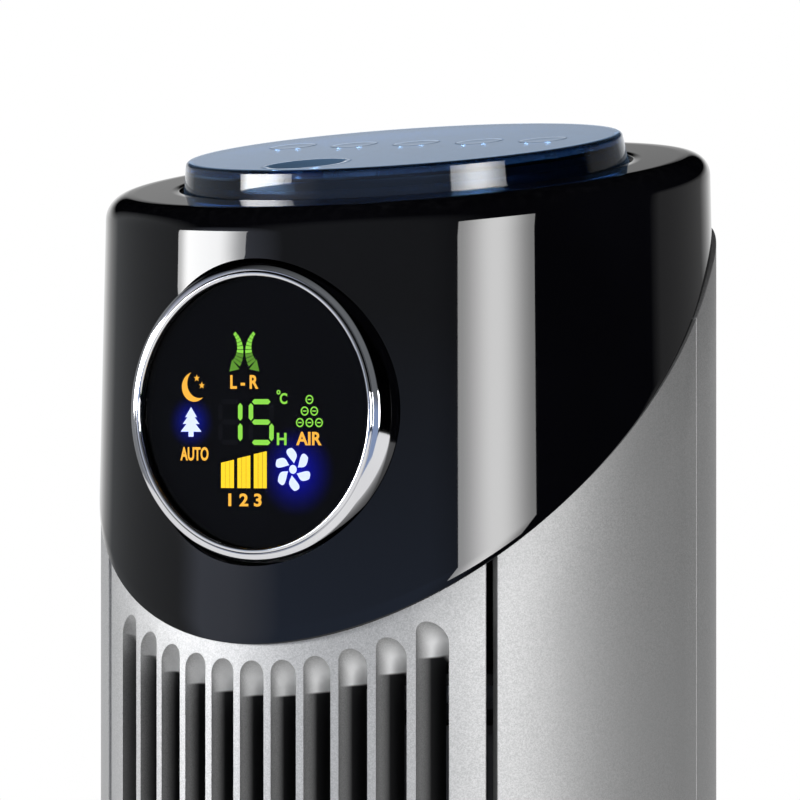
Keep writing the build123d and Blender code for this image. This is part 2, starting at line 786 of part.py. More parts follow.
def make_scroll_duct():
    """Spiral wall that gathers the air and leads it to the right edge of the mouth."""
    steps = 7
    angles = [scroll_start + (scroll_end - scroll_start) * i / steps for i in range(steps + 1)]
    mouth_y = grille_front_y(duct_mouth + duct_wall, grille_depth) + moving_gap
    inner = Spline([spiral_point(a) for a in angles])
    outer = Spline([spiral_point(a, duct_wall) for a in angles])
    lead = Polyline(inner @ 1, (duct_mouth, mouth_y), (duct_mouth + duct_wall, mouth_y), outer @ 1)
    heel = Line(inner @ 0, outer @ 0)
    wall = extrude(make_face([inner, lead, outer, heel]), amount=upper_plate_z - lower_plate_top)
    return Pos(0, 0, lower_plate_top) * wall


def make_vortex_tongue():
    """Wall that parts the intake from the outlet: a rounded nose by the impeller and two legs."""
    reach = impeller_radius + scroll_gap + tongue_nose
    nose_x = impeller_x + reach * cos(radians(tongue_angle))
    nose_y = impeller_y + reach * sin(radians(tongue_angle))
    mouth_x = duct_mouth + duct_wall / 2.0
    mouth_y = grille_front_y(mouth_x + duct_wall, grille_depth) + moving_gap
    inside = skin + tongue_wall + seam + duct_wall / 2.0 + moving_gap
    side_x = -(column_half_width - inside) * sqrt(1.0 - (nose_y / (column_half_depth - inside)) ** 2)
    profile = Polyline((-mouth_x, mouth_y), (nose_x, nose_y), (side_x, nose_y))
    body = make_face(offset(profile, amount=duct_wall / 2.0, kind=Kind.ARC, side=Side.BOTH))
    body += Pos(nose_x, nose_y) * Circle(tongue_nose)
    return Pos(0, 0, lower_plate_top) * extrude(body, amount=upper_plate_z - lower_plate_top)


def blade_face():
    """One forward-curved blade: an arc of even thickness between two radii."""
    lean = radians(blade_lean)
    inner = (impeller_inner + blade_thickness, 0.0)
    outer_radius = impeller_radius - blade_thickness
    tip = (outer_radius * cos(lean), outer_radius * sin(lean))
    belly_radius = (impeller_inner + outer_radius) / 2.0
    belly = (belly_radius * cos(0.28 * lean), belly_radius * sin(0.28 * lean))
    line = ThreePointArc(inner, belly, tip)
    return make_face(offset(line, amount=blade_thickness / 2.0, kind=Kind.ARC, side=Side.BOTH))


def make_impeller():
    """Cross-flow impeller: rings of curved blades between discs, closed at both ends."""
    length = impeller_top - impeller_bottom
    blade = extrude(blade_face(), amount=length - disc_thickness)
    body = drum(impeller_radius, 0.0, disc_thickness) + drum(hub_radius, -hub_drop, hub_height)
    body += drum(impeller_radius, length - disc_thickness, length)
    body += drum(top_hub_radius, length - top_hub_height, length + top_hub_rise)
    for i in range(1, impeller_sections):
        z = length * i / impeller_sections
        body += tube(impeller_radius, impeller_inner, z - disc_thickness / 2.0, z + disc_thickness / 2.0)
    blades = [Rot(0, 0, 360.0 * i / blade_count) * Pos(0, 0, disc_thickness / 2.0) * blade
              for i in range(blade_count)]
    body = body.fuse(*blades)
    body -= drum(motor_shaft_radius, -hub_drop - past, hub_height + past)
    body -= drum(top_shaft_radius, length - top_hub_height - past, length + top_hub_rise + past)
    return Pos(impeller_x, impeller_y, impeller_bottom) * body


def make_motor_shaft():
    """Motor shaft, up into the impeller's lower hub."""
    low = motor_bottom - bush_seat_wall
    return drum(motor_shaft_radius, low, impeller_bottom + hub_height, impeller_x, impeller_y)


def make_top_shaft():
    """Stub shaft in the impeller's upper hub."""
    end = upper_plate_z - top_bush_hang + top_bush_length + top_shaft_radius
    return drum(top_shaft_radius, impeller_top - top_hub_height, end, impeller_x, impeller_y)


def make_top_bush():
    """Sintered bush that the stub shaft turns in."""
    low = upper_plate_z - top_bush_hang
    bush = tube(top_bush_radius, top_shaft_radius + shaft_play, low, low + top_bush_length)
    return Pos(impeller_x, impeller_y) * bush


def make_bearing_rubber():
    """Soft ring that holds the top bush in the upper plate's cup."""
    return tube(rubber_radius, top_bush_radius + seam, upper_plate_z + bearing_cup_floor,
                upper_plate_z + bearing_cup_height, impeller_x, impeller_y)


# ---------------------------------------------------------------- motor
def make_motor_stator():
    """Laminated core with clipped corners, bored for the rotor."""
    core = extrude(RectangleRounded(2.0 * stator_half, 2.0 * stator_half, stator_corner), amount=stator_height)
    core = Pos(impeller_x, impeller_y, stator_bottom) * core
    core -= drum(rotor_radius + rotor_gap, 0.0, HIGH, impeller_x, impeller_y)
    for x, y in corners(mount_spot, mount_spot):
        core -= drum(screw_radius + 2.0 * pilot_play, 0.0, HIGH, impeller_x + x, impeller_y + y)
    return core


def make_motor_windings():
    """Copper end turns, one ring above the core and one below."""
    rings = []
    for low in (stator_top, stator_bottom - winding_height):
        rings.append(tube(winding_outer, winding_inner, low, low + winding_height, impeller_x, impeller_y))
    return rings


def make_motor_bells():
    """End caps over the windings, each with the seat of a bush."""
    caps = []
    for face, outward in ((stator_top, 1.0), (stator_bottom, -1.0)):
        low, high = sorted((face, face + outward * bell_height))
        inner_low, inner_high = sorted((face, face + outward * (bell_height - bell_wall)))
        end = face + outward * bell_height
        seat_low, seat_high = sorted((end - outward * bush_length, end))
        cap = drum(bell_radius, low, high, impeller_x, impeller_y)
        cap -= drum(bell_radius - bell_wall, inner_low, inner_high, impeller_x, impeller_y)
        cap += drum(bush_radius + bush_seat_wall, seat_low, seat_high, impeller_x, impeller_y)
        cap -= drum(bush_radius + seam, 0.0, HIGH, impeller_x, impeller_y)
        caps.append(cap)
    return caps


def make_motor_bushes():
    """Two bronze bushes that carry the motor shaft."""
    bushes = []
    for low in (motor_top - bush_length, motor_bottom):
        bushes.append(tube(bush_radius, motor_shaft_radius + shaft_play, low, low + bush_length,
                           impeller_x, impeller_y))
    return bushes


def make_motor_rotor():
    """Squirrel-cage rotor pressed on the shaft."""
    return tube(rotor_radius, motor_shaft_radius, stator_bottom, stator_top, impeller_x, impeller_y)


def make_motor_mounts():
    """Rubber sleeves between the core and the lower plate."""
    sleeve = tube(mount_radius, screw_radius + pilot_play, stator_top, lower_plate_z)
    return [Pos(impeller_x + x, impeller_y + y) * sleeve for x, y in corners(mount_spot, mount_spot)]


def make_motor_screws():
    """Long screws up through the core and sleeves into the lower plate."""
    length = lower_plate_top - stator_bottom
    return [Pos(impeller_x + x, impeller_y + y, stator_bottom) * screw(length, head_up=False)
            for x, y in corners(mount_spot, mount_spot)]


def potted_box(x, y, z, size):
    """Box standing on a floor, its middle at x and y, with softened upright edges."""
    box = Pos(x, y, z) * Box(*size, align=BOTTOM)
    return chamfer(box.edges().filter_by(Axis.Z), box_chamfer)


def make_run_capacitor():
    """Motor capacitor on the column's floor."""
    return potted_box(capacitor_x, capacitor_y, foot_top, capacitor_size)


def make_wire_loom():
    """Straight run of wires beside the duct, from the motor space to the head."""
    x = column_half_width - loom_inset
    return drum(loom_radius, foot_top + loom_end, upper_plate_top + loom_end, x, loom_y)


# ---------------------------------------------------------------- head
def head_form(inset, drop):
    """Tapering oval under the sloping top, drawn in by inset and lowered by drop."""
    low = edge_axis_z - column_half_depth
    faces = []
    for z in (upper_plate_z, sky + past):
        lean = (z - low) * tan(radians(head_draft))
        grow = head_proud - inset - lean
        faces.append(Pos(0, 0, z) * Ellipse(column_half_width + grow, column_half_depth + grow))
    return loft(faces, ruled=True) & below_top(drop)


def lens_oval(inset, low, high):
    """Prism on the lens's oval, square to the head's sloping top."""
    face = Pos(0, -lens_forward) * Ellipse(lens_half_width - inset, lens_half_depth - inset)
    return top_plane * Pos(0, 0, low) * extrude(face, amount=high - low)


def make_head_shell():
    """Gloss cap with a slanted lower edge, a round window hole and the lens's recess."""
    body = head_form(0.0, 0.0)
    body = fillet(highest_edge(body), head_rim_radius)
    body -= head_form(head_wall, head_roof)
    body &= above_edge(0.0)
    for x, y in post_spots():
        post = drum(post_radius, upper_plate_top, sky, x, y) & head_form(head_wall / 2.0, head_roof / 2.0)
        body += post - pilot(0.0, upper_plate_z + column_screw_length + pilot_spare, x, y)
    pilot_end = bezel_back - holder_thickness + board_screw_length + moving_gap
    for x, z in corners(holder_boss_at, holder_boss_at):
        boss = disc_forward(holder_boss_radius, bezel_back, column_half_depth, x, display_z + z)
        body += boss & head_form(head_wall / 2.0, head_roof / 2.0)
        body -= disc_forward(screw_radius + pilot_play, bezel_back - past, pilot_end, x, display_z + z)
    body -= disc_forward(bezel_radius + seam, bezel_back, FAR)
    body -= lens_oval(-lens_gap, -lens_recess, FAR)
    return body - lens_oval(lens_ledge, -FAR, FAR)


def make_display_bezel():
    """Bright ring round the display with a leaning flank and a thin inner lip."""
    lip = window_sink / 5.0
    outline = Polyline((bezel_bore, bezel_back), (bezel_radius, bezel_back), (bezel_radius, bezel_flank),
                       (bezel_lip_radius + 2.0 * lip, bezel_front - lip), (bezel_lip_radius, bezel_front),
                       (bezel_lip_radius - 1.4 * lip, bezel_front - lip),
                       (window_sight, window_front + 2.0 * lip),
                       (window_sight, window_front), (bezel_bore, window_front), close=True)
    ring = revolve(Plane.XY * make_face(outline), Axis.Y)
    return Pos(0, 0, display_z) * Rot(0, 0, 180) * ring


def make_display_window():
    """Smoked disc that snaps in behind the bezel's lip."""
    return disc_forward(window_radius, window_back, window_front)


def make_display_light():
    """Lit symbol block behind the window."""
    return disc_forward(window_sight - light_inset, light_back, window_back - seam)


def make_display_board():
    """Round circuit board behind the symbol block."""
    return disc_forward(window_sight - light_inset / 2.0, light_back - board_thickness, light_back)


def make_display_holder():
    """Square back plate, screwed to the head, that clamps the bezel and the board."""
    plane = Plane(origin=(0, -bezel_back, display_z), x_dir=(1, 0, 0), z_dir=(0, 1, 0))
    outline = RectangleRounded(2.0 * holder_half, 2.0 * holder_half, holder_corner)
    body = plane * extrude(outline, amount=holder_thickness)
    pad_back = bezel_back - holder_thickness
    body += disc_forward(bezel_bore - holder_pad_inset, pad_back, light_back - board_thickness - seam)
    for x, z in corners(holder_boss_at, holder_boss_at):
        body -= disc_forward(screw_radius + pilot_play, pad_back - past, bezel_back + past, x, display_z + z)
    return body


# ---------------------------------------------------------------- lens and keys
def key_spots():
    """Each key's name with its place on the lens and its radius."""
    power_y = power_key_inset - lens_forward - lens_half_depth
    places = {"power": (power_key_x, power_y, power_key_radius, power_key_dish)}
    for i, name in enumerate(key_names):
        x = (i - (len(key_names) - 1) / 2.0) * small_key_pitch
        places[name] = (x, small_key_y, small_key_radius, small_key_dish)
    return places


def make_top_lens():
    """Tinted clear cover with a hole for each key."""
    body = lens_oval(0.0, -lens_recess + seam, lens_top)
    body = fillet(highest_edge(body), lens_edge_radius)
    body -= lens_oval(lens_wall, -FAR, lens_under)
    for x, y, radius, dish in key_spots().values():
        body -= top_plane * Pos(x, y, 0) * Cylinder(radius + moving_gap, FAR)
    return body


def make_key(name):
    """Key cap with a dished face, a flange under the lens and a stem down to its switch."""
    x, y, radius, dish = key_spots()[name]
    flange_low = key_flange_top - key_flange_height
    cap = drum(radius, flange_low, lens_top)
    hollow = dish_share * radius
    ball = (hollow ** 2 + dish ** 2) / (2.0 * dish)
    cap -= Pos(0, 0, lens_top + ball - dish) * Sphere(ball)
    cap += drum(radius + key_flange, flange_low, key_flange_top)
    cap += drum(key_stem_radius, key_bottom, flange_low + overlap)
    return top_plane * Pos(x, y, 0) * cap


def make_key_tray():
    """Dark tray under the lens that guides the stems and carries the switch board."""
    rim_inset = lens_wall + moving_gap
    body = lens_oval(rim_inset, tray_floor, tray_floor + tray_wall)
    body += lens_oval(rim_inset, -lens_recess + seam, tray_floor) - lens_oval(rim_inset + tray_wall, -FAR, FAR)
    pilot_end = board_top - board_thickness + board_screw_length + pilot_spare
    for x, y in corners(tray_post_x, tray_post_y):
        body += top_plane * drum(tray_post_radius, board_top, tray_floor + overlap, x, y)
        body -= top_plane * pilot(board_top - past, pilot_end, x, y)
    for x, y, radius, dish in key_spots().values():
        body -= top_plane * Pos(x, y, 0) * Cylinder(key_stem_radius + moving_gap, FAR)
    return body


def make_switch_board():
    """Circuit board under the key tray."""
    inset = lens_ledge + board_inset
    board = extrude(Ellipse(lens_half_width - inset, lens_half_depth - inset), amount=board_thickness)
    body = top_plane * Pos(0, -lens_forward, board_top - board_thickness) * board
    for x, y in corners(tray_post_x, tray_post_y):
        body -= top_plane * Pos(x, y, board_top) * Cylinder(screw_radius + pilot_play, 10.0)
    return body


def make_tact_switches():
    """Click switches on the board, one under each key."""
    pieces = []
    for x, y, radius, dish in key_spots().values():
        switch = Box(switch_side, switch_side, switch_height, align=BOTTOM)
        switch += Cylinder(plunger_radius, switch_height + plunger_height, align=BOTTOM)
        pieces.append(top_plane * Pos(x, y, board_top) * switch)
    return pieces


# ---------------------------------------------------------------- power board and ioniser
def make_power_board():
    """Main circuit board on the upper plate's standoffs."""
    board = Box(2.0 * board_half_x, 2.0 * board_half_y, board_thickness, align=BOTTOM)
    body = Pos(board_x, board_y, board_z) * board
    for x, y in corners(board_corner_x, board_corner_y):
        body -= pilot(0.0, HIGH, board_x + x, board_y + y)
    return body


def make_power_parts():
    """Transformer, relay and capacitor on the power board."""
    top = board_z + board_thickness
    transformer = Pos(board_x + transformer_x, board_y, top) * Box(*transformer_size, align=BOTTOM)
    relay = Pos(board_x + relay_x, board_y, top) * Box(*relay_size, align=BOTTOM)
    can = drum(board_can_radius, top, top + board_can_height, board_x + board_can_x, board_y)
    return [transformer, relay, can]


def make_ion_module():
    """Potted ioniser on the upper plate."""
    return potted_box(ion_x, ion_y, upper_plate_top, ion_size)


# ---------------------------------------------------------------- shared fasteners
def make_column_screws():
    """One kind of screw: up into the pivot, down into the foot's posts and up into the head's posts."""
    pieces = [Pos(x, y, pivot_end - retainer_thickness) * screw(column_screw_length, head_up=False)
              for x, y in pivot_screw_spots()]
    pieces += [Pos(x, y, lower_plate_top) * screw(column_screw_length) for x, y in post_spots()]
    pieces += [Pos(x, y, upper_plate_z) * screw(column_screw_length, head_up=False) for x, y in post_spots()]
    return pieces


def make_board_screws():
    """One kind of short screw for the display's back plate, the switch board and the power board."""
    pieces = []
    for x, z in corners(holder_boss_at, holder_boss_at):
        origin = (x, holder_thickness - bezel_back, display_z + z)
        pieces.append(Plane(origin=origin, x_dir=(1, 0, 0), z_dir=(0, 1, 0)) * screw(board_screw_length))
    for x, y in corners(tray_post_x, tray_post_y):
        under = Pos(x, y, board_top - board_thickness)
        pieces.append(top_plane * under * screw(board_screw_length, head_up=False))
    for x, y in corners(board_corner_x, board_corner_y):
        pieces.append(Pos(board_x + x, board_y + y, board_z + board_thickness) * screw(board_screw_length))
    return pieces


# ---------------------------------------------------------------- write each node
def pieces():
    """Every node of the fan by name."""
    nodes = {
        "base_shell": make_base_shell(),
        "base_plate": make_base_plate(),
        "rubber_feet": make_feet(),
        "base_screws": make_base_screws(),
        "cord_gland": make_cord_gland(),
        "swing_ring_gear": make_swing_ring_gear(),
        "slide_ring": make_slide_ring(),
        "column_foot": make_column_foot(),
        "pivot_retainer": make_pivot_retainer(),
        "swing_motor": make_swing_motor(),
        "drive_pinion": make_drive_pinion(),
        "pinion_shaft": make_pinion_shaft(),
        "lower_collar": make_lower_collar(),
        "front_grille": make_front_grille(),
        "upright_left": make_upright(-1),
        "upright_right": make_upright(1),
        "side_panel_left": make_side_panel(-1),
        "side_panel_right": make_side_panel(1),
        "rear_housing": make_rear_housing(),
        "lower_plate": make_lower_plate(),
        "upper_plate": make_upper_plate(),
        "scroll_duct": make_scroll_duct(),
        "vortex_tongue": make_vortex_tongue(),
        "impeller": make_impeller(),
        "motor_shaft": make_motor_shaft(),
        "top_shaft": make_top_shaft(),
        "top_bush": make_top_bush(),
        "bearing_rubber": make_bearing_rubber(),
        "motor_stator": make_motor_stator(),
        "motor_windings": make_motor_windings(),
        "motor_bells": make_motor_bells(),
        "motor_bushes": make_motor_bushes(),
        "motor_rotor": make_motor_rotor(),
        "motor_mounts": make_motor_mounts(),
        "motor_screws": make_motor_screws(),
        "run_capacitor": make_run_capacitor(),
        "wire_loom": make_wire_loom(),
        "head_shell": make_head_shell(),
        "display_bezel": make_display_bezel(),
        "display_window": make_display_window(),
        "display_light": make_display_light(),
        "display_board": make_display_board(),
        "display_holder": make_display_holder(),
        "top_lens": make_top_lens(),
        "key_tray": make_key_tray(),
        "switch_board": make_switch_board(),
        "tact_switches": make_tact_switches(),
        "power_board": make_power_board(),
        "power_parts": make_power_parts(),
        "ion_module": make_ion_module(),
        "column_screws": make_column_screws(),
        "board_screws": make_board_screws(),
    }
    for name in ("power",) + key_names:
        nodes["key_" + name] = make_key(name)
    return nodes


os.makedirs("parts", exist_ok=True)
for name, shape in pieces().items():
    solid = Compound(children=list(shape)) if isinstance(shape, list) else shape
    export_step(solid, "parts/" + name + ".step")
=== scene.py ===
import json

import bmesh
import bpy
import numpy as np
from bpy.props import FloatProperty, FloatVectorProperty, IntProperty, PointerProperty
from math import atan2, cos, pi, radians, sin, sqrt, tan
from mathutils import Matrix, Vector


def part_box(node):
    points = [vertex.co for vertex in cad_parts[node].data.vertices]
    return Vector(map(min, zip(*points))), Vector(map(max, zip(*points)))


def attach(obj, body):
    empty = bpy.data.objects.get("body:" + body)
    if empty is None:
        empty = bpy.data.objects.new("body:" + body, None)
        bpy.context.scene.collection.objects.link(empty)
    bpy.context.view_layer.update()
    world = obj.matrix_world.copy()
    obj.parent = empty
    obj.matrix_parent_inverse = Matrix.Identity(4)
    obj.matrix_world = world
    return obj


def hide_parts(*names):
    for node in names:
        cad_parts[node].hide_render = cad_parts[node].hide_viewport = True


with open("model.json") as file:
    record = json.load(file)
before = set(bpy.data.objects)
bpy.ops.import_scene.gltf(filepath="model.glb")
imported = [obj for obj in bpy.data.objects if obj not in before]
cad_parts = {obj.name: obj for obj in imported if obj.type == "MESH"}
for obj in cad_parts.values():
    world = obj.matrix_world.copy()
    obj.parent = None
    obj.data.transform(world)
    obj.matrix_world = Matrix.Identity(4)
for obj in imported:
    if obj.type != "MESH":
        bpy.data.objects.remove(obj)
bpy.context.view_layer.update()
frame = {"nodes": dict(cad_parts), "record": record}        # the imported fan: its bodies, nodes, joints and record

SLOT_OF = {part["node"]: part["material_slot"] for part in frame["record"]["subparts"]}
MM = 0.001

bl_info = {
    "name": "Tower fan dressing",
    "version": (1, 0, 0),
    "blender": (4, 5, 0),
    "location": "View3D > Sidebar > Tower fan",
    "description": "Builds the outer forms, finishes and studio of an oval tower fan round its packed frame",
    "category": "Object",
}


# ---------------------------------------------------------------- places read from the frame
def reach(node, axis, end):
    """Lowest (end 0) or highest (end 1) place of a node along an axis, in metres."""
    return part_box(node)[end][axis]


HALF_WIDTH = -reach("side_panel_left", 0, 0)
HALF_DEPTH = reach("rear_housing", 1, 1)
GRILLE_HALF = reach("front_grille", 0, 1)
PANEL_EDGE = reach("side_panel_right", 0, 0)
PANEL_LOW = reach("front_grille", 2, 0)
REAR_FRONT = reach("rear_housing", 1, 0)
COLLAR_LOW, COLLAR_HIGH = reach("lower_collar", 2, 0), reach("lower_collar", 2, 1)
COLLAR_PROUD = reach("lower_collar", 0, 1) - HALF_WIDTH
BEZEL_RADIUS = reach("display_bezel", 0, 1)
BEZEL_FRONT = -reach("display_bezel", 1, 0)
BEZEL_BACK = -reach("display_bezel", 1, 1)
DISPLAY_Z = (reach("display_bezel", 2, 0) + reach("display_bezel", 2, 1)) / 2.0
WINDOW_RADIUS = reach("display_window", 0, 1)
WINDOW_FRONT = -reach("display_window", 1, 0)
WINDOW_BACK = -reach("display_window", 1, 1)
LIGHT_FRONT = -reach("display_light", 1, 0)
BASE_RADIUS = reach("base_shell", 0, 1)
BASE_LOW = reach("base_shell", 2, 0)


# ---------------------------------------------------------------- fixed details
# Gap round a round part that stands in a hole.
HOLE_GAP = 0.15 * MM

# Below a slot's mouth its side walls keep the silver down to this depth; lower down they take painted shade.
SLOT_SHADE_DROP = 9.4 * MM

# A lit symbol's thickness, and its two faces a little way off the block behind it.
FILM = 0.06 * MM
FILM_BACK, FILM_FRONT = LIGHT_FRONT + 0.6 * FILM, LIGHT_FRONT + 1.6 * FILM

# A key: its flange outside the cap, heights over the head's sloping top, stem, upper edge and dish.
FLANGE_PROUD = 1.4 * MM
FLANGE_LOW, FLANGE_MIDDLE, FLANGE_HIGH = 3.5 * MM, 4.1 * MM, 4.7 * MM
STEM_RADIUS, STEM_LOW = 2.0 * MM, -6.4 * MM
KEY_EDGE = 0.1 * MM
DISH_SHARE = 0.88
BOWL_DEPTH, FACE_DEPTH = 2.0 * MM, 0.02 * MM

# The base: the thick middle that the column turns on, and the block that stops the swing.
LAND_RADIUS, LAND_HEIGHT = 33.0 * MM, 8.0 * MM
STOP_INNER, STOP_OUTER, STOP_WIDTH, STOP_HEIGHT = 52.0 * MM, 60.0 * MM, 7.0 * MM, 5.0 * MM

# The camera's bearing from the front, positive to the right, its distance and height, and the lamps' target.
VIEW_BEARING, VIEW_DISTANCE, VIEW_HEIGHT = radians(32.0), 1.629, 0.8392
LAMP_TARGET = (0.0, 0.0, 0.85)


# ---------------------------------------------------------------- sizes and colours that a user would change
class FanColumnSizes(bpy.types.PropertyGroup):
    """Sizes of the column's panels, slots and base."""
    skin: FloatProperty(name="Skin", description="Wall of the outer panels", default=2.5 * MM, unit="LENGTH")
    seam: FloatProperty(name="Seam", description="Gap between fixed panels", default=0.15 * MM,
                        unit="LENGTH")
    panel_fold: FloatProperty(name="Panel fold", description="Width of a side panel's folded front edge",
                              default=2.2 * MM, unit="LENGTH")
    groove_depth: FloatProperty(name="Groove depth",
                                description="Depth of the dark channels beside the grille",
                                default=4.85 * MM, unit="LENGTH")
    grille_depth: FloatProperty(name="Grille depth", description="Depth of the grille's ribs",
                                default=13.0 * MM, unit="LENGTH")
    slot_count: IntProperty(name="Slots", description="Number of upright slots in the grille", default=11)
    slot_pitch: FloatProperty(name="Slot pitch", description="From one slot to the next", default=9.5 * MM,
                              unit="LENGTH")
    slot_width: FloatProperty(name="Slot width", description="Width of a slot", default=7.4 * MM,
                              unit="LENGTH")
    slot_bottom: FloatProperty(name="Slot foot", description="Height of the slots' lower ends", default=0.2,
                               unit="LENGTH")
    slot_scoop: FloatProperty(name="Slot scoop", description="How far a slot's ceiling falls on its way in",
                              default=8.6 * MM, unit="LENGTH")
    slot_margin: FloatProperty(name="Slot margin", description="From the head's edge to the middle slot",
                               default=5.3 * MM, unit="LENGTH")
    slot_margin_side: FloatProperty(name="Side margin",
                                    description="From the head's edge to the outermost slots",
                                    default=7.6 * MM, unit="LENGTH")
    intake_low: FloatProperty(name="Intake foot", description="Height of the lowest intake slots",
                              default=0.205, unit="LENGTH")
    intake_high: FloatProperty(name="Intake top", description="Height of the highest intake slots",
                               default=0.745, unit="LENGTH")
    intake_tiers: IntProperty(name="Intake tiers", description="Rows of intake slots, one over the other",
                              default=4)
    intake_count: IntProperty(name="Intake slots", description="Slots in each tier", default=13)
    intake_pitch: FloatProperty(name="Intake pitch", description="From one intake slot to the next",
                                default=8.8 * MM, unit="LENGTH")
    intake_width: FloatProperty(name="Intake width", description="Width of an intake slot", default=4.4 * MM,
                                unit="LENGTH")
    intake_bar: FloatProperty(name="Intake bar", description="Bar between two tiers", default=12.0 * MM,
                              unit="LENGTH")
    base_top: FloatProperty(name="Base top", description="Height of the base's flat top", default=42.0 * MM,
                            unit="LENGTH")
    base_flat: FloatProperty(name="Base flat", description="Radius of the base's flat top",
                             default=80.0 * MM, unit="LENGTH")
    base_rim: FloatProperty(name="Base rim", description="Height of the base's upright rim",
                            default=9.0 * MM, unit="LENGTH")
    base_wall: FloatProperty(name="Base wall", description="Wall of the base's dome", default=3.0 * MM,
                             unit="LENGTH")
    pivot_radius: FloatProperty(name="Pivot radius", description="Bore of the base for the swivel",
                                default=22.05 * MM, unit="LENGTH")


class FanHeadSizes(bpy.types.PropertyGroup):
    """Sizes of the head, the lens on it and the keys."""
    top: FloatProperty(name="Head top", description="Height of the sloping top at the axis", default=0.9,
                       unit="LENGTH")
    slope: FloatProperty(name="Slope", description="Fall of the top towards the front", default=radians(9.0),
                         unit="ROTATION")
    wall: FloatProperty(name="Wall", description="Wall of the head", default=2.5 * MM, unit="LENGTH")
    roof: FloatProperty(name="Roof", description="Thickness of the head's top", default=4.0 * MM,
                        unit="LENGTH")
    proud: FloatProperty(name="Proud", description="How far the head stands outside the panels",
                         default=1.2 * MM, unit="LENGTH")
    draft: FloatProperty(name="Draft", description="Lean of the head's side", default=radians(1.3),
                         unit="ROTATION")
    rim: FloatProperty(name="Rim radius", description="Rounding between side and top", default=6.0 * MM,
                       unit="LENGTH")
    edge_drop: FloatProperty(name="Edge drop",
                             description="From the top to the slanted lower edge, at the axis",
                             default=47.6 * MM, unit="LENGTH")
    edge_bend: FloatProperty(name="Edge bend",
                             description="How far behind the axis the edge starts to level out",
                             default=15.0 * MM, unit="LENGTH")
    edge_bend_radius: FloatProperty(name="Bend radius", description="Radius of that bend", default=73.7 * MM,
                                    unit="LENGTH")
    lens_half_width: FloatProperty(name="Lens half width", description="Half of the lens's width",
                                   default=63.0 * MM, unit="LENGTH")
    lens_half_depth: FloatProperty(name="Lens half depth", description="Half of the lens's depth",
                                   default=53.8 * MM, unit="LENGTH")
    lens_forward: FloatProperty(name="Lens forward", description="How far the lens sits ahead of the axis",
                                default=1.0 * MM, unit="LENGTH")
    lens_height: FloatProperty(name="Lens height", description="Lens's top over the head's top",
                               default=7.5 * MM, unit="LENGTH")
    lens_edge: FloatProperty(name="Lens edge", description="Rounding of the lens's upper edge",
                             default=1.2 * MM, unit="LENGTH")
    lens_draft: FloatProperty(name="Lens draft",
                              description="How far the lens's side draws in towards its top",
                              default=1.15 * MM, unit="LENGTH")
    lens_gap: FloatProperty(name="Lens gap", description="Gap between the lens and its recess",
                            default=1.2 * MM, unit="LENGTH")
    lens_recess: FloatProperty(name="Lens recess", description="Depth of the recess round the lens",
                               default=1.5 * MM, unit="LENGTH")
    lens_ledge: FloatProperty(name="Lens ledge", description="Width of the ledge that the lens stands on",
                              default=6.0 * MM, unit="LENGTH")
    key_gap: FloatProperty(name="Key gap", description="Gap round a key", default=0.12 * MM, unit="LENGTH")


class FanColours(bpy.types.PropertyGroup):
    """Colours of the fan's finishes, as linear values."""
    gloss: FloatVectorProperty(name="Head", description="Gloss black moulding", subtype="COLOR",
                               default=(0.0012, 0.0012, 0.0018))
    silver: FloatVectorProperty(name="Panels", description="Metallic silver paint", subtype="COLOR",
                                default=(0.48, 0.48, 0.48))
    lens: FloatVectorProperty(name="Lens", description="Tinted clear top", subtype="COLOR",
                              default=(0.16, 0.33, 0.62))
    smoke: FloatVectorProperty(name="Window", description="Smoked display window", subtype="COLOR",
                               default=(0.10, 0.10, 0.12))
    green: FloatVectorProperty(name="Green symbols", description="Lit green", subtype="COLOR",
                               default=(0.30, 0.80, 0.07))
    amber: FloatVectorProperty(name="Amber symbols", description="Lit amber", subtype="COLOR",
                               default=(1.0, 0.50, 0.05))
    blue: FloatVectorProperty(name="Blue symbols", description="Lit blue-white", subtype="COLOR",
                              default=(0.66, 0.75, 1.0))


# ---------------------------------------------------------------- meshes
def grid_faces(rows, columns, wrap_rows=False, wrap_columns=False):
    """Quads between neighbours of a grid of rows by columns, wrapped round where asked."""
    row, column = np.meshgrid(np.arange(rows - (not wrap_rows)), np.arange(columns - (not wrap_columns)),
                              indexing="ij")
    next_row, next_column = (row + 1) % rows, (column + 1) % columns
    quads = np.stack([row * columns + column, next_row * columns + column,
                      next_row * columns + next_column, row * columns + next_column], axis=-1)
    return quads.reshape(-1, 4).tolist()


def prism_faces(count):
    """Faces of a prism whose two outlines, of count points each, follow each other."""
    return grid_faces(2, count, False, True) + [list(range(count)), list(range(count, 2 * count))]


def joined(*parts):
    """Several (points, faces) pairs as one pair."""
    points, faces, first = [], [], 0
    for part_points, part_faces in parts:
        points.append(part_points.reshape(-1, 3))
        faces += [[index + first for index in face] for face in part_faces]
        first += len(points[-1])
    return np.concatenate(points), faces


def new_object(name, points, faces):
    """Object from points (n, 3) and faces, with doubles merged and faces turned outwards."""
    mesh = bpy.data.meshes.new(name)
    mesh.from_pydata(points.reshape(-1, 3).tolist(), [], faces)
    form = bmesh.new()
    form.from_mesh(mesh)
    bmesh.ops.remove_doubles(form, verts=form.verts, dist=2e-6)
    bmesh.ops.dissolve_degenerate(form, edges=form.edges, dist=1e-6)
    bmesh.ops.recalc_face_normals(form, faces=form.faces)
    form.to_mesh(mesh)
    form.free()
    piece = bpy.data.objects.new(name, mesh)
    bpy.context.scene.collection.objects.link(piece)
    return piece


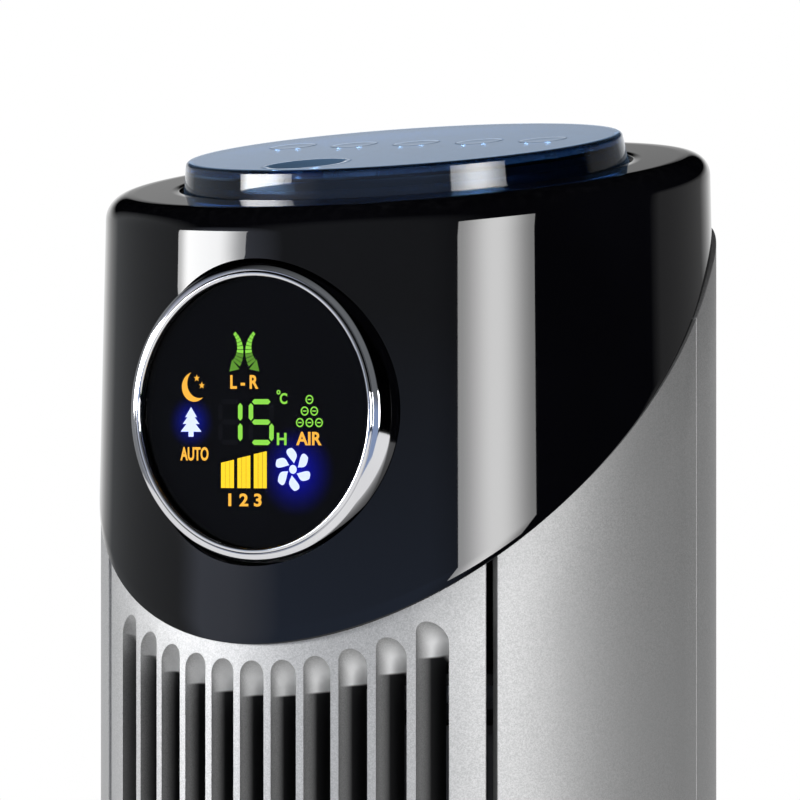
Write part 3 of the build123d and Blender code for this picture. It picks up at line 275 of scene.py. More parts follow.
def bake_modifiers(piece, crease=32.0):
    """Turns the piece's modifiers into its mesh, shaded smooth except over edges sharper than crease."""
    graph = bpy.context.evaluated_depsgraph_get()
    mesh = bpy.data.meshes.new_from_object(piece.evaluated_get(graph))
    piece.modifiers.clear()
    piece.data = mesh
    mesh.name = piece.name
    mesh.shade_smooth()
    mesh.set_sharp_from_angle(angle=radians(crease))


def round_edges(piece, width, segments=3, angle=40.0):
    """Rounds the piece's sharp edges."""
    bevel = piece.modifiers.new("round", "BEVEL")
    bevel.width = width
    bevel.segments = segments
    bevel.limit_method = "ANGLE"
    bevel.angle_limit = radians(angle)
    bevel.miter_outer = "MITER_ARC"


def cut_away(piece, cutter_points, cutter_faces):
    """Cuts the given solid forms out of the piece."""
    cutter = new_object(piece.name + "_cutter", cutter_points, cutter_faces)
    cut = piece.modifiers.new("cut", "BOOLEAN")
    cut.operation = "DIFFERENCE"
    cut.solver = "EXACT"
    cut.object = cutter
    bake_modifiers(piece)
    bpy.data.objects.remove(cutter)


def finish_piece(piece, body, slot, nodes=(), finish=None):
    """Gives a piece its body and the finish of its slot, or the finish named in its place, and hides the CAD nodes
    that it stands for."""
    piece.data.materials.clear()
    piece.data.materials.append(finish_of(finish or slot))
    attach(piece, body)
    if nodes:
        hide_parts(*nodes)


def add_piece(name, form, body, slot, nodes=(), finish=None, rounding=0.0, crease=32.0):
    """Finished piece from its (points, faces), with its sharp edges rounded where asked."""
    piece = new_object(name, *form)
    if rounding:
        round_edges(piece, rounding)
    bake_modifiers(piece, crease)
    finish_piece(piece, body, slot, nodes, finish)


def turned_solid(profile, count, centre=(0.0, 0.0, 0.0), forward=False, ring=False):
    """Points and faces of a turned form: each (radius, height) of the profile goes round the axis in count
    even steps. The axis is Z through centre, or for forward the -Y direction through centre. A ring's profile
    is a closed loop. Any other profile starts and ends on the axis."""
    profile = np.asarray(profile, dtype=float)
    turn = np.linspace(0.0, 2.0 * pi, count, endpoint=False)[:, None]
    radius, height = profile[None, :, 0], profile[None, :, 1] + 0.0 * turn
    across, along = radius * np.cos(turn), radius * np.sin(turn)
    points = np.stack([across, -height, along] if forward else [across, along, height], axis=-1)
    return points + np.asarray(centre), grid_faces(count, len(profile), True, ring)


def rod(radius, low, high):
    """Profile of a plain round rod."""
    return [(0.0, low), (radius, low), (radius, high), (0.0, high)]


def arc(centre, radius, start, end, count):
    """Points on a circular arc from one angle to another, in degrees, as (n, 2)."""
    angle = np.radians(np.linspace(start, end, count))
    return np.stack([centre[0] + radius * np.cos(angle), centre[1] + radius * np.sin(angle)], axis=-1)


def spaced(count, pitch):
    """Places of a row in even steps about its middle."""
    return [(i - (count - 1) / 2.0) * pitch for i in range(count)]


# ---------------------------------------------------------------- the column's oval
def oval(turn, inset):
    """Point of the column's oval drawn in by inset: half axes times cosine and sine of turn."""
    return (HALF_WIDTH - inset) * np.cos(turn), (HALF_DEPTH - inset) * np.sin(turn)


def turn_at_x(x):
    """Turn at which the right half of the oval's front reaches x."""
    return -np.arccos(x / HALF_WIDTH)


def turn_at_y(y):
    """Turn at which the right side of the oval reaches y."""
    return np.arcsin(y / HALF_DEPTH)


def edge_height(y):
    """Head's lower edge at a depth y: a 45 degree slope that bends up to level behind the axis."""
    head = bpy.context.scene.fan_head
    slope = head.top - head.edge_drop + np.minimum(y, head.edge_bend)
    radius = head.edge_bend_radius
    along = np.clip(y - head.edge_bend, 0.0, radius / sqrt(2.0))
    return slope + np.sqrt(radius ** 2 - (radius / sqrt(2.0) - along) ** 2) - radius / sqrt(2.0)


def upright_wall(turns, outer, inner, low, lift, rows):
    """Wall between two insets of the oval, from a height low up to the head's edge moved by lift.
    At each turn the section goes up the outside, over the top and down the inside."""
    rise = np.linspace(0.0, 1.0, rows)[None, :]
    sides = []
    for inset in (outer, inner):
        x, y = oval(turns, inset)
        top = edge_height(y) + lift
        z = low + (top - low)[:, None] * rise
        sides.append(np.stack([x[:, None] + 0.0 * rise, y[:, None] + 0.0 * rise, z], axis=-1))
    points = np.concatenate([sides[0], sides[1][:, ::-1]], axis=1)
    last = (len(turns) - 1) * 2 * rows
    ends = [list(range(2 * rows)), list(range(last, last + 2 * rows))]
    return points, grid_faces(len(turns), 2 * rows, False, True) + ends


def slot_prism(x, front, back, top, bottom, width, corner, fall=0.0, steps=9):
    """Tall slot as a prism along Y, from y = front to y = back. Its corners are quarter circles, and its two
    ends draw in by fall on the way."""
    half = width / 2.0 - corner
    outline = np.concatenate([arc((x + side * half, 0.0), corner, start, start + 90.0, steps)
                              for side, start in ((1.0, 0.0), (-1.0, 90.0), (-1.0, 180.0), (1.0, 270.0))])
    lift = np.repeat([1.0, -1.0], 2 * steps)
    middle, reach_up = (top + bottom) / 2.0, (top - bottom) / 2.0 - corner
    rings = []
    for y, shrink in ((front, 0.0), (back, fall)):
        z = middle + outline[:, 1] + lift * (reach_up - shrink)
        rings.append(np.stack([outline[:, 0], np.full(4 * steps, y), z], axis=-1))
    return np.concatenate(rings), prism_faces(4 * steps)


# ---------------------------------------------------------------- shader nodes and groups
def new_group(name, inputs, outputs):
    """Empty shader node group with the given float inputs and outputs: the group, the sockets that its inputs
    come from and the sockets that its outputs go to."""
    group = bpy.data.node_groups.new(name, "ShaderNodeTree")
    for label, value in inputs:
        socket = group.interface.new_socket(name=label, in_out="INPUT", socket_type="NodeSocketFloat")
        socket.default_value = value
    for label in outputs:
        group.interface.new_socket(name=label, in_out="OUTPUT", socket_type="NodeSocketFloat")
    return group, group.nodes.new("NodeGroupInput").outputs, group.nodes.new("NodeGroupOutput").inputs


def feed(tree, socket, value):
    """Links another node's output to a socket, or sets a plain value on it. A colour's alpha is 1."""
    if isinstance(value, bpy.types.NodeSocket):
        tree.links.new(value, socket)
    elif socket.type == "RGBA":
        socket.default_value = (*value[:3], 1.0)
    else:
        socket.default_value = value


def add_node(tree, kind, **values):
    """Node of a kind in a tree. A value named in_X feeds input X, a number or a name. Any other value is one
    of the node's own settings."""
    node = tree.nodes.new(kind)
    for key, value in values.items():
        if key.startswith("in_"):
            feed(tree, node.inputs[int(key[3:]) if key[3:].isdigit() else key[3:]], value)
        else:
            setattr(node, key, value)
    return node


def calculate(tree, operation, first, second=0.0, third=0.0):
    """Output of a Math node."""
    return add_node(tree, "ShaderNodeMath", operation=operation, in_0=first, in_1=second,
                    in_2=third).outputs[0]


def measure(tree, operation, vector, other=(0.0, 0.0, 0.0)):
    """Number that a Vector Math node gives."""
    return add_node(tree, "ShaderNodeVectorMath", operation=operation, in_0=vector,
                    in_1=other).outputs["Value"]


def ramp(tree, value, low, high, first=0.0, last=1.0, shape="LINEAR"):
    """Output that goes from first to last as a value goes from low to high."""
    return add_node(tree, "ShaderNodeMapRange", interpolation_type=shape, in_0=value, in_1=low, in_2=high,
                    in_3=first, in_4=last).outputs[0]


def mixed(tree, mask, first, second):
    """Colour that goes from first to second as a mask goes from 0 to 1."""
    return add_node(tree, "ShaderNodeMix", data_type="RGBA", in_0=mask, in_6=first, in_7=second).outputs[2]


def noise(tree, place, scale, detail=2.0, roughness=0.5):
    """Noise between 0 and 1 at a place."""
    return add_node(tree, "ShaderNodeTexNoise", in_0=place, in_2=scale, in_3=detail,
                    in_4=roughness).outputs["Fac"]


def place_in(tree, kind="Object"):
    """Object coordinates, or another of the coordinates that a surface has."""
    return tree.nodes.new("ShaderNodeTexCoord").outputs[kind]


def split(tree, vector):
    """Outputs X, Y and Z of a vector."""
    return add_node(tree, "ShaderNodeSeparateXYZ", in_0=vector).outputs


def moulded_group():
    """Fine moulded grain: two sizes of noise. Height is for bump, Tone is a slow change of shade."""
    group, start, end = new_group("moulded_grain", [("Scale", 2500.0)], ["Height", "Tone"])
    place = place_in(group)
    group.links.new(noise(group, place, start["Scale"], 3.0, 0.6), end["Height"])
    group.links.new(noise(group, place, 22.0), end["Tone"])
    return group


def handled_group():
    """Traces of handling: Smear is broad and soft, Hairline is thin scratches that run mostly upright."""
    group, start, end = new_group("handled", [("Scale", 1.0)], ["Smear", "Hairline"])
    place = add_node(group, "ShaderNodeVectorMath", operation="SCALE", in_0=place_in(group),
                     in_Scale=start["Scale"]).outputs[0]
    drawn = add_node(group, "ShaderNodeMapping", in_0=place, in_Rotation=(0.12, 0.2, 0.0),
                     in_Scale=(900.0, 900.0, 40.0)).outputs[0]
    group.links.new(ramp(group, noise(group, place, 14.0, 4.0, 0.55), 0.42, 0.74), end["Smear"])
    group.links.new(ramp(group, noise(group, drawn, 1.0), 0.70, 0.78), end["Hairline"])
    return group


def flake_group():
    """Metal flakes in paint: each small cell has its own Tone, and Height tips it a little."""
    group, start, end = new_group("metal_flakes", [("Scale", 5200.0)], ["Tone", "Height"])
    cells = add_node(group, "ShaderNodeTexVoronoi", in_0=place_in(group), in_2=start["Scale"])
    channels = add_node(group, "ShaderNodeSeparateColor", in_0=cells.outputs["Color"]).outputs
    group.links.new(channels[0], end["Tone"])
    group.links.new(channels[1], end["Height"])
    return group


def dust_group():
    """Settled dust: more on faces that look up, broken up by noise."""
    group, start, end = new_group("settled_dust", [("Amount", 0.1)], ["Mask"])
    surface = group.nodes.new("ShaderNodeNewGeometry")
    up = ramp(group, split(group, surface.outputs["Normal"])["Z"], 0.25, 1.0)
    sparse = ramp(group, noise(group, place_in(group), 420.0, 5.0, 0.7), 0.45, 0.75)
    mask = calculate(group, "MULTIPLY", calculate(group, "MULTIPLY", up, sparse), start["Amount"])
    group.links.new(mask, end["Mask"])
    return group


def depth_group():
    """How deep a point lies under the column's oval, from 0 at Start to 1 at Reach. Wall has this on the slots'
    side walls lower than the drop that keeps their silver, as the mask for painted shade; the other output has it
    everywhere else, as the mask for painted light on the slots' ends."""
    head, size = bpy.context.scene.fan_head, bpy.context.scene.fan_column
    group, start, end = new_group("slot_depth", [("Start", 0.01), ("Reach", 0.12)], ["Wall", "Scoop"])
    place = place_in(group)
    flat = add_node(group, "ShaderNodeVectorMath", operation="MULTIPLY", in_0=place,
                    in_1=(1.0 / HALF_WIDTH, 1.0 / HALF_DEPTH, 0.0))
    under = calculate(group, "SUBTRACT", 1.0, measure(group, "LENGTH", flat.outputs[0]))
    deep = ramp(group, under, start["Start"], start["Reach"])
    sideways = calculate(group, "ABSOLUTE", split(group, place_in(group, "Normal"))["X"])
    spot = split(group, place)
    square = calculate(group, "POWER", spot["X"], 2.0)
    inner = calculate(group, "MULTIPLY_ADD", square, -1.0 / HALF_WIDTH ** 2, 1.0)
    level = calculate(group, "MULTIPLY_ADD", calculate(group, "SQRT", inner), HALF_DEPTH, spot["Z"])
    mouth = head.top - head.edge_drop - size.slot_margin
    # Side walls lower than this drop take the painted shade.
    lower = ramp(group, level, mouth - SLOT_SHADE_DROP, mouth - SLOT_SHADE_DROP - 0.5 * MM)
    side_wall = calculate(group, "MULTIPLY", ramp(group, sideways, 0.55, 0.92), lower)
    wall = calculate(group, "MULTIPLY", deep, side_wall)
    group.links.new(wall, end["Wall"])
    group.links.new(calculate(group, "SUBTRACT", deep, wall), end["Scoop"])
    return group


GROUP_MAKERS = {"moulded_grain": moulded_group, "handled": handled_group, "metal_flakes": flake_group,
                "settled_dust": dust_group, "slot_depth": depth_group}


# ---------------------------------------------------------------- materials
class Finish:
    """A material in the making: its tree, its shader and short ways to add what varies over the surface."""

    def __init__(self, name, **values):
        self.material = bpy.data.materials.new(name + "_finish")
        self.material.use_nodes = True
        self.tree = self.material.node_tree
        self.shader = self.tree.nodes["Principled BSDF"]
        self.set(**values)

    def set(self, **values):
        """Plain values or outputs on the shader's own sockets. An underscore stands for a space."""
        for key, value in values.items():
            feed(self.tree, self.shader.inputs[key.replace("_", " ")], value)

    def group(self, name, **values):
        """Outputs of one of the shared groups, built at its first use, with its own input values."""
        node = self.tree.nodes.new("ShaderNodeGroup")
        node.node_tree = bpy.data.node_groups.get(name) or GROUP_MAKERS[name]()
        for key, value in values.items():
            node.inputs[key].default_value = value
        return node.outputs

    def blend(self, mask, first, second):
        """Colour that goes from first to second as the mask goes from 0 to 1."""
        return mixed(self.tree, mask, first, second)

    def spread(self, mask, low, high):
        """Value that goes from low to high as the mask goes from 0 to 1."""
        return ramp(self.tree, mask, 0.0, 1.0, low, high)

    def bump(self, height, strength, distance):
        """Bump from a height."""
        bump = add_node(self.tree, "ShaderNodeBump", in_Strength=strength, in_Distance=distance,
                        in_Height=height)
        self.set(Normal=bump.outputs["Normal"])

    def polish(self, scale, colour, smeared, smooth, rough, scratch, depth):
        """Polished surface: smears take it from one colour and roughness to the other, and hairlines scratch
        it. Returns the colour."""
        worn = self.group("handled", Scale=scale)
        tone = self.blend(worn["Smear"], colour, smeared)
        self.set(Base_Color=tone, Roughness=self.spread(worn["Smear"], smooth, rough))
        self.bump(worn["Hairline"], scratch, depth)
        return tone


def shade(colour, factor):
    """A colour made lighter or darker."""
    return tuple(min(1.0, channel * factor) for channel in colour)


def plastic(name, colour, roughness, grain=2500.0, depth=0.02 * MM, dust=0.05):
    """Moulded plastic or rubber: slow change of shade, fine grain, dust where it looks up."""
    finish = Finish(name)
    moulded, dusty = finish.group("moulded_grain", Scale=grain), finish.group("settled_dust", Amount=dust)
    tone = finish.blend(moulded["Tone"], shade(colour, 0.86), shade(colour, 1.14))
    finish.set(Base_Color=finish.blend(dusty["Mask"], tone, (0.42, 0.40, 0.37)),
               Roughness=finish.spread(moulded["Tone"], roughness - 0.05, roughness + 0.07))
    finish.bump(moulded["Height"], 0.35, depth)
    return finish.material


def metal(name, colour, roughness, scratch=0.3):
    """Bare metal: faint drawn lines and a slow change of shade."""
    finish = Finish(name, Metallic=1.0)
    worn, moulded = finish.group("handled", Scale=2.0), finish.group("moulded_grain", Scale=900.0)
    finish.set(Base_Color=finish.blend(moulded["Tone"], shade(colour, 0.85), shade(colour, 1.1)),
               Roughness=finish.spread(worn["Smear"], roughness, roughness + 0.12))
    finish.bump(worn["Hairline"], scratch, 0.01 * MM)
    return finish.material


def gloss_black():
    """Deep gloss moulding: mirror-like, with the faintest smears, hairlines and dust."""
    gloss = bpy.context.scene.fan_colours.gloss
    finish = Finish("gloss_black", IOR=1.5)
    tone = finish.polish(1.0, gloss, shade(gloss, 1.5), 0.022, 0.045, 0.02, 0.004 * MM)
    dusty = finish.group("settled_dust", Amount=0.012)["Mask"]
    finish.set(Base_Color=finish.blend(dusty, tone, (0.4, 0.4, 0.4)))
    return finish.material


def silver_finish(name):
    """Metallic paint: bright flakes of many tilts in a fine even coat. Returns the finish and its colour."""
    silver = bpy.context.scene.fan_colours.silver
    finish = Finish(name)
    flakes, moulded = finish.group("metal_flakes", Scale=3600.0), finish.group("moulded_grain", Scale=1700.0)
    tone = finish.blend(flakes["Tone"], shade(silver, 0.84), shade(silver, 1.14))
    paint = finish.blend(finish.group("handled", Scale=0.8)["Smear"], tone, shade(silver, 0.97))
    finish.set(Roughness=finish.spread(moulded["Tone"], 0.55, 0.62))
    finish.bump(flakes["Height"], 0.06, 0.02 * MM)
    return finish, paint


def silver_paint():
    """Metallic paint of the panels."""
    finish, paint = silver_finish("silver_paint")
    finish.set(Metallic=0.9, Base_Color=paint)
    return finish.material


def slotted_silver():
    """The panels' paint with light and shade painted into the slots: the slots' ends are painted pale and matt as
    painted light, and the side walls darken with depth to near black as painted shade, which also stands for dark
    moulding where the spray thins out."""
    finish, paint = silver_finish("slotted_silver")
    thin = finish.group("slot_depth", Start=0.006, Reach=0.085)
    # Painted light: the slots' ends turn pale and matt.
    ends = finish.blend(thin["Scoop"], paint, (0.92, 0.92, 0.92))
    deep = calculate(finish.tree, "ADD", thin["Wall"], thin["Scoop"])
    # Painted shade: deeper side walls go to near black.
    finish.set(Base_Color=finish.blend(thin["Wall"], ends, (0.010, 0.010, 0.011)),
               Metallic=finish.spread(deep, 0.9, 0.0))
    return finish.material


def hazy_blue(name, colour, **values):
    """Polished blue plastic with a thin blue haze that shows at flat angles."""
    finish = Finish(name, IOR=1.52, Sheen_Weight=0.29, Sheen_Roughness=0.32, Sheen_Tint=(0.40, 0.64, 1.0),
                    **values)
    finish.polish(1.5, colour, shade(colour, 1.08), 0.03, 0.05, 0.01, 0.002 * MM)
    return finish.material


def tinted_lens():
    """Clear blue cover."""
    return hazy_blue("tinted_lens", bpy.context.scene.fan_colours.lens, Transmission_Weight=1.0)


def tinted_key():
    """Solid blue of the flat keys, as dark as the cover looks."""
    return hazy_blue("tinted_key", shade(bpy.context.scene.fan_colours.lens, 0.10))


def tinted_bowl():
    """Solid blue of the dished key, painted lighter than the flat keys as painted light, because its bowl shows
    less haze.
    """
    return hazy_blue("tinted_bowl", (0.07, 0.13, 0.22))


def bright_ring():
    """Bright plating with faint ripples."""
    finish = Finish("bright_ring", Metallic=1.0)
    finish.polish(3.0, (0.66, 0.66, 0.68), (0.72, 0.72, 0.74), 0.04, 0.10, 0.04, 0.004 * MM)
    return finish.material


def smoked_window():
    """Dark smoked clear plastic in front of the symbols."""
    smoke = bpy.context.scene.fan_colours.smoke
    finish = Finish("smoked_window", Transmission_Weight=1.0, IOR=1.16)
    finish.polish(2.0, smoke, shade(smoke, 1.1), 0.01, 0.03, 0.02, 0.003 * MM)
    return finish.material


def copper_windings():
    """Enamelled wire laid round the ring."""
    finish = Finish("copper", Metallic=0.85)
    wire = add_node(finish.tree, "ShaderNodeTexWave", wave_type="BANDS", bands_direction="Z",
                    in_0=place_in(finish.tree), in_1=900.0, in_2=1.5).outputs["Fac"]
    finish.set(Base_Color=finish.blend(wire, (0.34, 0.13, 0.05), (0.72, 0.34, 0.16)),
               Roughness=finish.spread(wire, 0.45, 0.25))
    finish.bump(wire, 0.5, 0.1 * MM)
    return finish.material


def circuit_board():
    """Green board with lighter traces."""
    finish = Finish("board_green")
    traces = add_node(finish.tree, "ShaderNodeTexBrick", in_0=place_in(finish.tree), in_4=260.0,
                      in_5=0.06).outputs["Fac"]
    moulded = finish.group("moulded_grain", Scale=1500.0)
    tone = finish.blend(moulded["Tone"], (0.015, 0.11, 0.045), (0.03, 0.17, 0.07))
    finish.set(Base_Color=finish.blend(traces, tone, (0.09, 0.30, 0.13)),
               Roughness=finish.spread(traces, 0.32, 0.24))
    finish.bump(traces, 0.2, 0.03 * MM)
    return finish.material


def lit_symbol(name, colour, strength):
    """Lit symbol film: even light with a faint mottle."""
    finish = Finish(name, Emission_Strength=strength, Roughness=0.6)
    moulded = finish.group("moulded_grain", Scale=1200.0)
    finish.set(Emission_Color=finish.blend(moulded["Height"], shade(colour, 0.85), colour),
               Base_Color=finish.blend(moulded["Tone"], shade(colour, 0.2), shade(colour, 0.3)))
    return finish.material


def lit_colour(name, strength):
    """Lit film in one of the colours that a user can change."""
    return lit_symbol("lit_" + name, getattr(bpy.context.scene.fan_colours, name), strength)


def light_block():
    """Dark block that the symbols lie in, with the ghost of its unlit cells."""
    finish = Finish("light_block")
    edges = add_node(finish.tree, "ShaderNodeTexVoronoi", feature="DISTANCE_TO_EDGE",
                     in_0=place_in(finish.tree), in_2=190.0).outputs["Distance"]
    walls = ramp(finish.tree, edges, 0.0, 0.06)
    finish.set(Base_Color=finish.blend(walls, (0.010, 0.010, 0.014), (0.006, 0.006, 0.009)),
               Roughness=finish.spread(walls, 0.6, 0.5))
    finish.bump(walls, 0.1, 0.02 * MM)
    return finish.material


FINISH_MAKERS = {
    "gloss_black": gloss_black,
    "silver_paint": silver_paint,
    "slotted_silver": slotted_silver,
    "tinted_lens": tinted_lens,
    "tinted_key": tinted_key,
    "tinted_bowl": tinted_bowl,
    "bright_ring": bright_ring,
    "smoked_window": smoked_window,
    "light_block": light_block,
    "copper": copper_windings,
    "board_green": circuit_board,
    "dark_plastic": lambda: plastic("dark_plastic", (0.018, 0.018, 0.019), 0.46),
    "impeller_plastic": lambda: plastic("impeller_plastic", (0.045, 0.045, 0.05), 0.42, 1800.0),
    "white_plastic": lambda: plastic("white_plastic", (0.74, 0.71, 0.62), 0.38),
    "rubber": lambda: plastic("rubber", (0.022, 0.022, 0.022), 0.78, 1600.0, 0.04 * MM, 0.12),
    "switch_black": lambda: plastic("switch_black", (0.02, 0.02, 0.02), 0.4, 3000.0),
    "wire_sleeve": lambda: plastic("wire_sleeve", (0.03, 0.03, 0.032), 0.5, 1400.0, 0.06 * MM),
    "steel": lambda: metal("steel", (0.52, 0.52, 0.54), 0.24),
    "bronze": lambda: metal("bronze", (0.58, 0.38, 0.16), 0.38),
    "cast_alloy": lambda: metal("cast_alloy", (0.56, 0.56, 0.57), 0.42, 0.6),
    "lit_green": lambda: lit_colour("green", 10.0),
    "lit_amber": lambda: lit_colour("amber", 11.0),
    "lit_blue": lambda: lit_colour("blue", 13.0),
    "lit_yellow": lambda: lit_symbol("lit_yellow", (1.0, 0.66, 0.02), 12.0),
    "dim_green": lambda: lit_symbol("dim_green", bpy.context.scene.fan_colours.green, 4.0),
    # The unlit segments glow faintly as painted light.
    "unlit": lambda: lit_symbol("unlit", (0.5, 0.5, 0.55), 0.035),
}


def finish_of(name):
    """Finish of a name, made at its first use. Each slot's own finish has the slot's name."""
    return bpy.data.materials.get(name + "_finish") or FINISH_MAKERS[name]()


# ---------------------------------------------------------------- head
def roof_point(across, along, height):
    """Point given on the head's sloping top: across is X, along runs up the slope, height is square to it."""
    head = bpy.context.scene.fan_head
    y = along * cos(head.slope) - height * sin(head.slope)
    z = head.top + along * sin(head.slope) + height * cos(head.slope)
    return np.stack(np.broadcast_arrays(across, y, z), axis=-1)


def head_side(turn, inset, height_of):
    """Point of the head's leaning side at a turn: the oval shrinks with height by the draft.
    height_of gives Z from Y, so Y and Z are found together in three rounds."""
    head = bpy.context.scene.fan_head
    foot = head.top - head.edge_drop - HALF_DEPTH
    z = np.full_like(turn, head.top)
    for _ in range(3):
        grow = head.proud - inset - (z - foot) * tan(head.draft)
        x = (HALF_WIDTH + grow) * np.cos(turn)
        y = (HALF_DEPTH + grow) * np.sin(turn)
        z = height_of(y)
    return np.stack([x, y, z], axis=-1)


def lens_ring(turn, inset, height):
    """Ring on the lens's oval drawn in by inset, at a height square to the head's top."""
    head = bpy.context.scene.fan_head
    across = (head.lens_half_width - inset) * np.cos(turn)
    along = (head.lens_half_depth - inset) * np.sin(turn) - head.lens_forward
    return roof_point(across, along, height)


def head_cover_form(count=288, side_rows=26, rim_rows=9, top_rows=6):
    """Closed wall of the head. Its section goes up the outside, round the rim, over the top, down into the
    lens's recess, along the ledge, through the roof and back down the inside."""
    head = bpy.context.scene.fan_head
    turn = np.linspace(0.0, 2.0 * pi, count, endpoint=False)
    slope = tan(head.slope)

    def side(inset, drop):
        bottom = head_side(turn, inset, edge_height)
        top = head_side(turn, inset, lambda y: head.top + y * slope - drop)
        return bottom, top

    bottom, top = side(0.0, head.rim)
    share = np.linspace(0.0, 1.0, side_rows)[:, None, None]
    rows = [bottom + (top - bottom) * share]
    for bend in np.linspace(0.0, pi / 2.0, rim_rows + 1)[1:]:
        inset, drop = head.rim * (1.0 - cos(bend)), head.rim * (1.0 - sin(bend))
        rows.append(head_side(turn, inset, lambda y: head.top + y * slope - drop)[None])
    recess = lens_ring(turn, -head.lens_gap, 0.0)
    share = np.linspace(0.0, 1.0, top_rows + 1)[1:, None, None]
    rows.append(rows[-1] + (recess - rows[-1]) * share)
    rows.append(lens_ring(turn, -head.lens_gap, -head.lens_recess)[None])
    rows.append(lens_ring(turn, head.lens_ledge, -head.lens_recess)[None])
    rows.append(lens_ring(turn, head.lens_ledge, -head.roof)[None])
    bottom, top = side(head.wall, head.roof)
    share = np.linspace(0.0, 1.0, side_rows)[:, None, None]
    rows.append(top + (bottom - top) * share)
    points = np.concatenate(rows)
    return points, grid_faces(len(points), count, True, True)


class FAN_OT_head_cover(bpy.types.Operator):
    """Gloss head with its slanted lower edge, its recess for the lens and its round display hole."""
    bl_idname = "fan.head_cover"
    bl_label = "Head cover"

    def execute(self, context):
        piece = new_object("head_cover", *head_cover_form())
        round_edges(piece, 0.28 * MM)
        hole = rod(BEZEL_RADIUS + HOLE_GAP, BEZEL_BACK - 4.0 * MM, BEZEL_FRONT + 20.0 * MM)
        cut_away(piece, *turned_solid(hole, 160, (0.0, 0.0, DISPLAY_Z), True))
        finish_piece(piece, "column", "gloss_black", ["head_shell"])
        return {"FINISHED"}


# ---------------------------------------------------------------- lens and keys
def key_places():
    """Each key's body with its place on the lens and its radius, read from the frame."""
    head = bpy.context.scene.fan_head
    places = {}
    for name in frame["nodes"]:
        if name.startswith("key_") and name != "key_tray":
            low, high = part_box(name)
            along = ((low[1] + high[1]) / 2.0 + FLANGE_MIDDLE * sin(head.slope)) / cos(head.slope)
            places[name] = ((low[0] + high[0]) / 2.0, along, (high[0] - low[0]) / 2.0 - FLANGE_PROUD)
    return places


def lens_form(count=240):
    """Closed clear cup, upside down. The section runs from the middle of the top out to the rounded edge,
    down the outside, under the foot and back along the inside."""
    head = bpy.context.scene.fan_head
    turn = np.linspace(0.0, 2.0 * pi, count, endpoint=False)
    wall, top, edge, draft = head.wall, head.lens_height, head.lens_edge, head.lens_draft
    foot = 0.15 * MM - head.lens_recess
    corner = 0.8 * MM

    def flat(share, height):
        """Ring at a share of the lens's size."""
        return roof_point(share * head.lens_half_width * np.cos(turn),
                          share * head.lens_half_depth * np.sin(turn) - head.lens_forward, height)

    rows = [flat(share, top) for share in (0.0, 0.35, 0.7)]
    rows.append(lens_ring(turn, draft + 2.0 * edge, top))
    for bend in np.linspace(pi / 2.0, 0.0, 8):
        rows.append(lens_ring(turn, draft + edge * (1.0 - cos(bend)), top - edge * (1.0 - sin(bend))))
    for inset, height in ((0.0, foot + 0.3 * MM), (0.0, foot), (wall, foot), (wall, top - wall - corner),
                          (wall + corner, top - wall)):
        rows.append(lens_ring(turn, inset, height))
    rows += [flat(share, top - wall) for share in (0.6, 0.0)]
    return np.stack(rows), grid_faces(len(rows), count, False, True)


def on_roof(form, across, along):
    """A form turned about Z, moved onto the head's sloping top."""
    points, faces = form
    return roof_point(points[..., 0] + across, points[..., 1] + along, points[..., 2]), faces


class FAN_OT_top_lens(bpy.types.Operator):
    """Tinted clear cover on the head, with a hole for each key."""
    bl_idname = "fan.top_lens"
    bl_label = "Top lens"

    def execute(self, context):
        piece = new_object("lens_cover", *lens_form())
        cutters = []
        for across, along, radius in key_places().values():
            hole = rod(radius + context.scene.fan_head.key_gap, -10.0 * MM, 20.0 * MM)
            cutters.append(on_roof(turned_solid(hole, 72), across, along))
        cut_away(piece, *joined(*cutters))
        finish_piece(piece, "column", "tinted_lens", ["top_lens"])
        return {"FINISHED"}


class FAN_OT_keys(bpy.types.Operator):
    """Key caps with dished faces, a flange under the lens and a stem."""
    bl_idname = "fan.keys"
    bl_label = "Keys"

    def execute(self, context):
        top = context.scene.fan_head.lens_height
        for name, (across, along, radius) in key_places().items():
            # The power key's cap takes a lighter blue as painted light.
            dish, finish = (BOWL_DEPTH, "tinted_bowl") if name == "key_power" else (FACE_DEPTH, "tinted_key")
            hollow = DISH_SHARE * radius
            ball = (hollow ** 2 + dish ** 2) / (2.0 * dish)
            r = np.linspace(0.0, hollow, 14)
            bowl = np.stack([r, top + ball - dish - np.sqrt(ball ** 2 - r ** 2)], axis=-1)
            lip = arc((radius - KEY_EDGE, top - KEY_EDGE), KEY_EDGE, 90.0, 0.0, 4)
            flange = radius + FLANGE_PROUD
            rest = [(radius, FLANGE_HIGH), (flange, FLANGE_HIGH), (flange, FLANGE_LOW),
                    (STEM_RADIUS, FLANGE_LOW), (STEM_RADIUS, STEM_LOW), (0.0, STEM_LOW)]
            form = on_roof(turned_solid(np.concatenate([bowl, lip, rest]), 96), across, along)
            add_piece(name + "_cap", form, name, "tinted_lens", [name], finish)
        return {"FINISHED"}


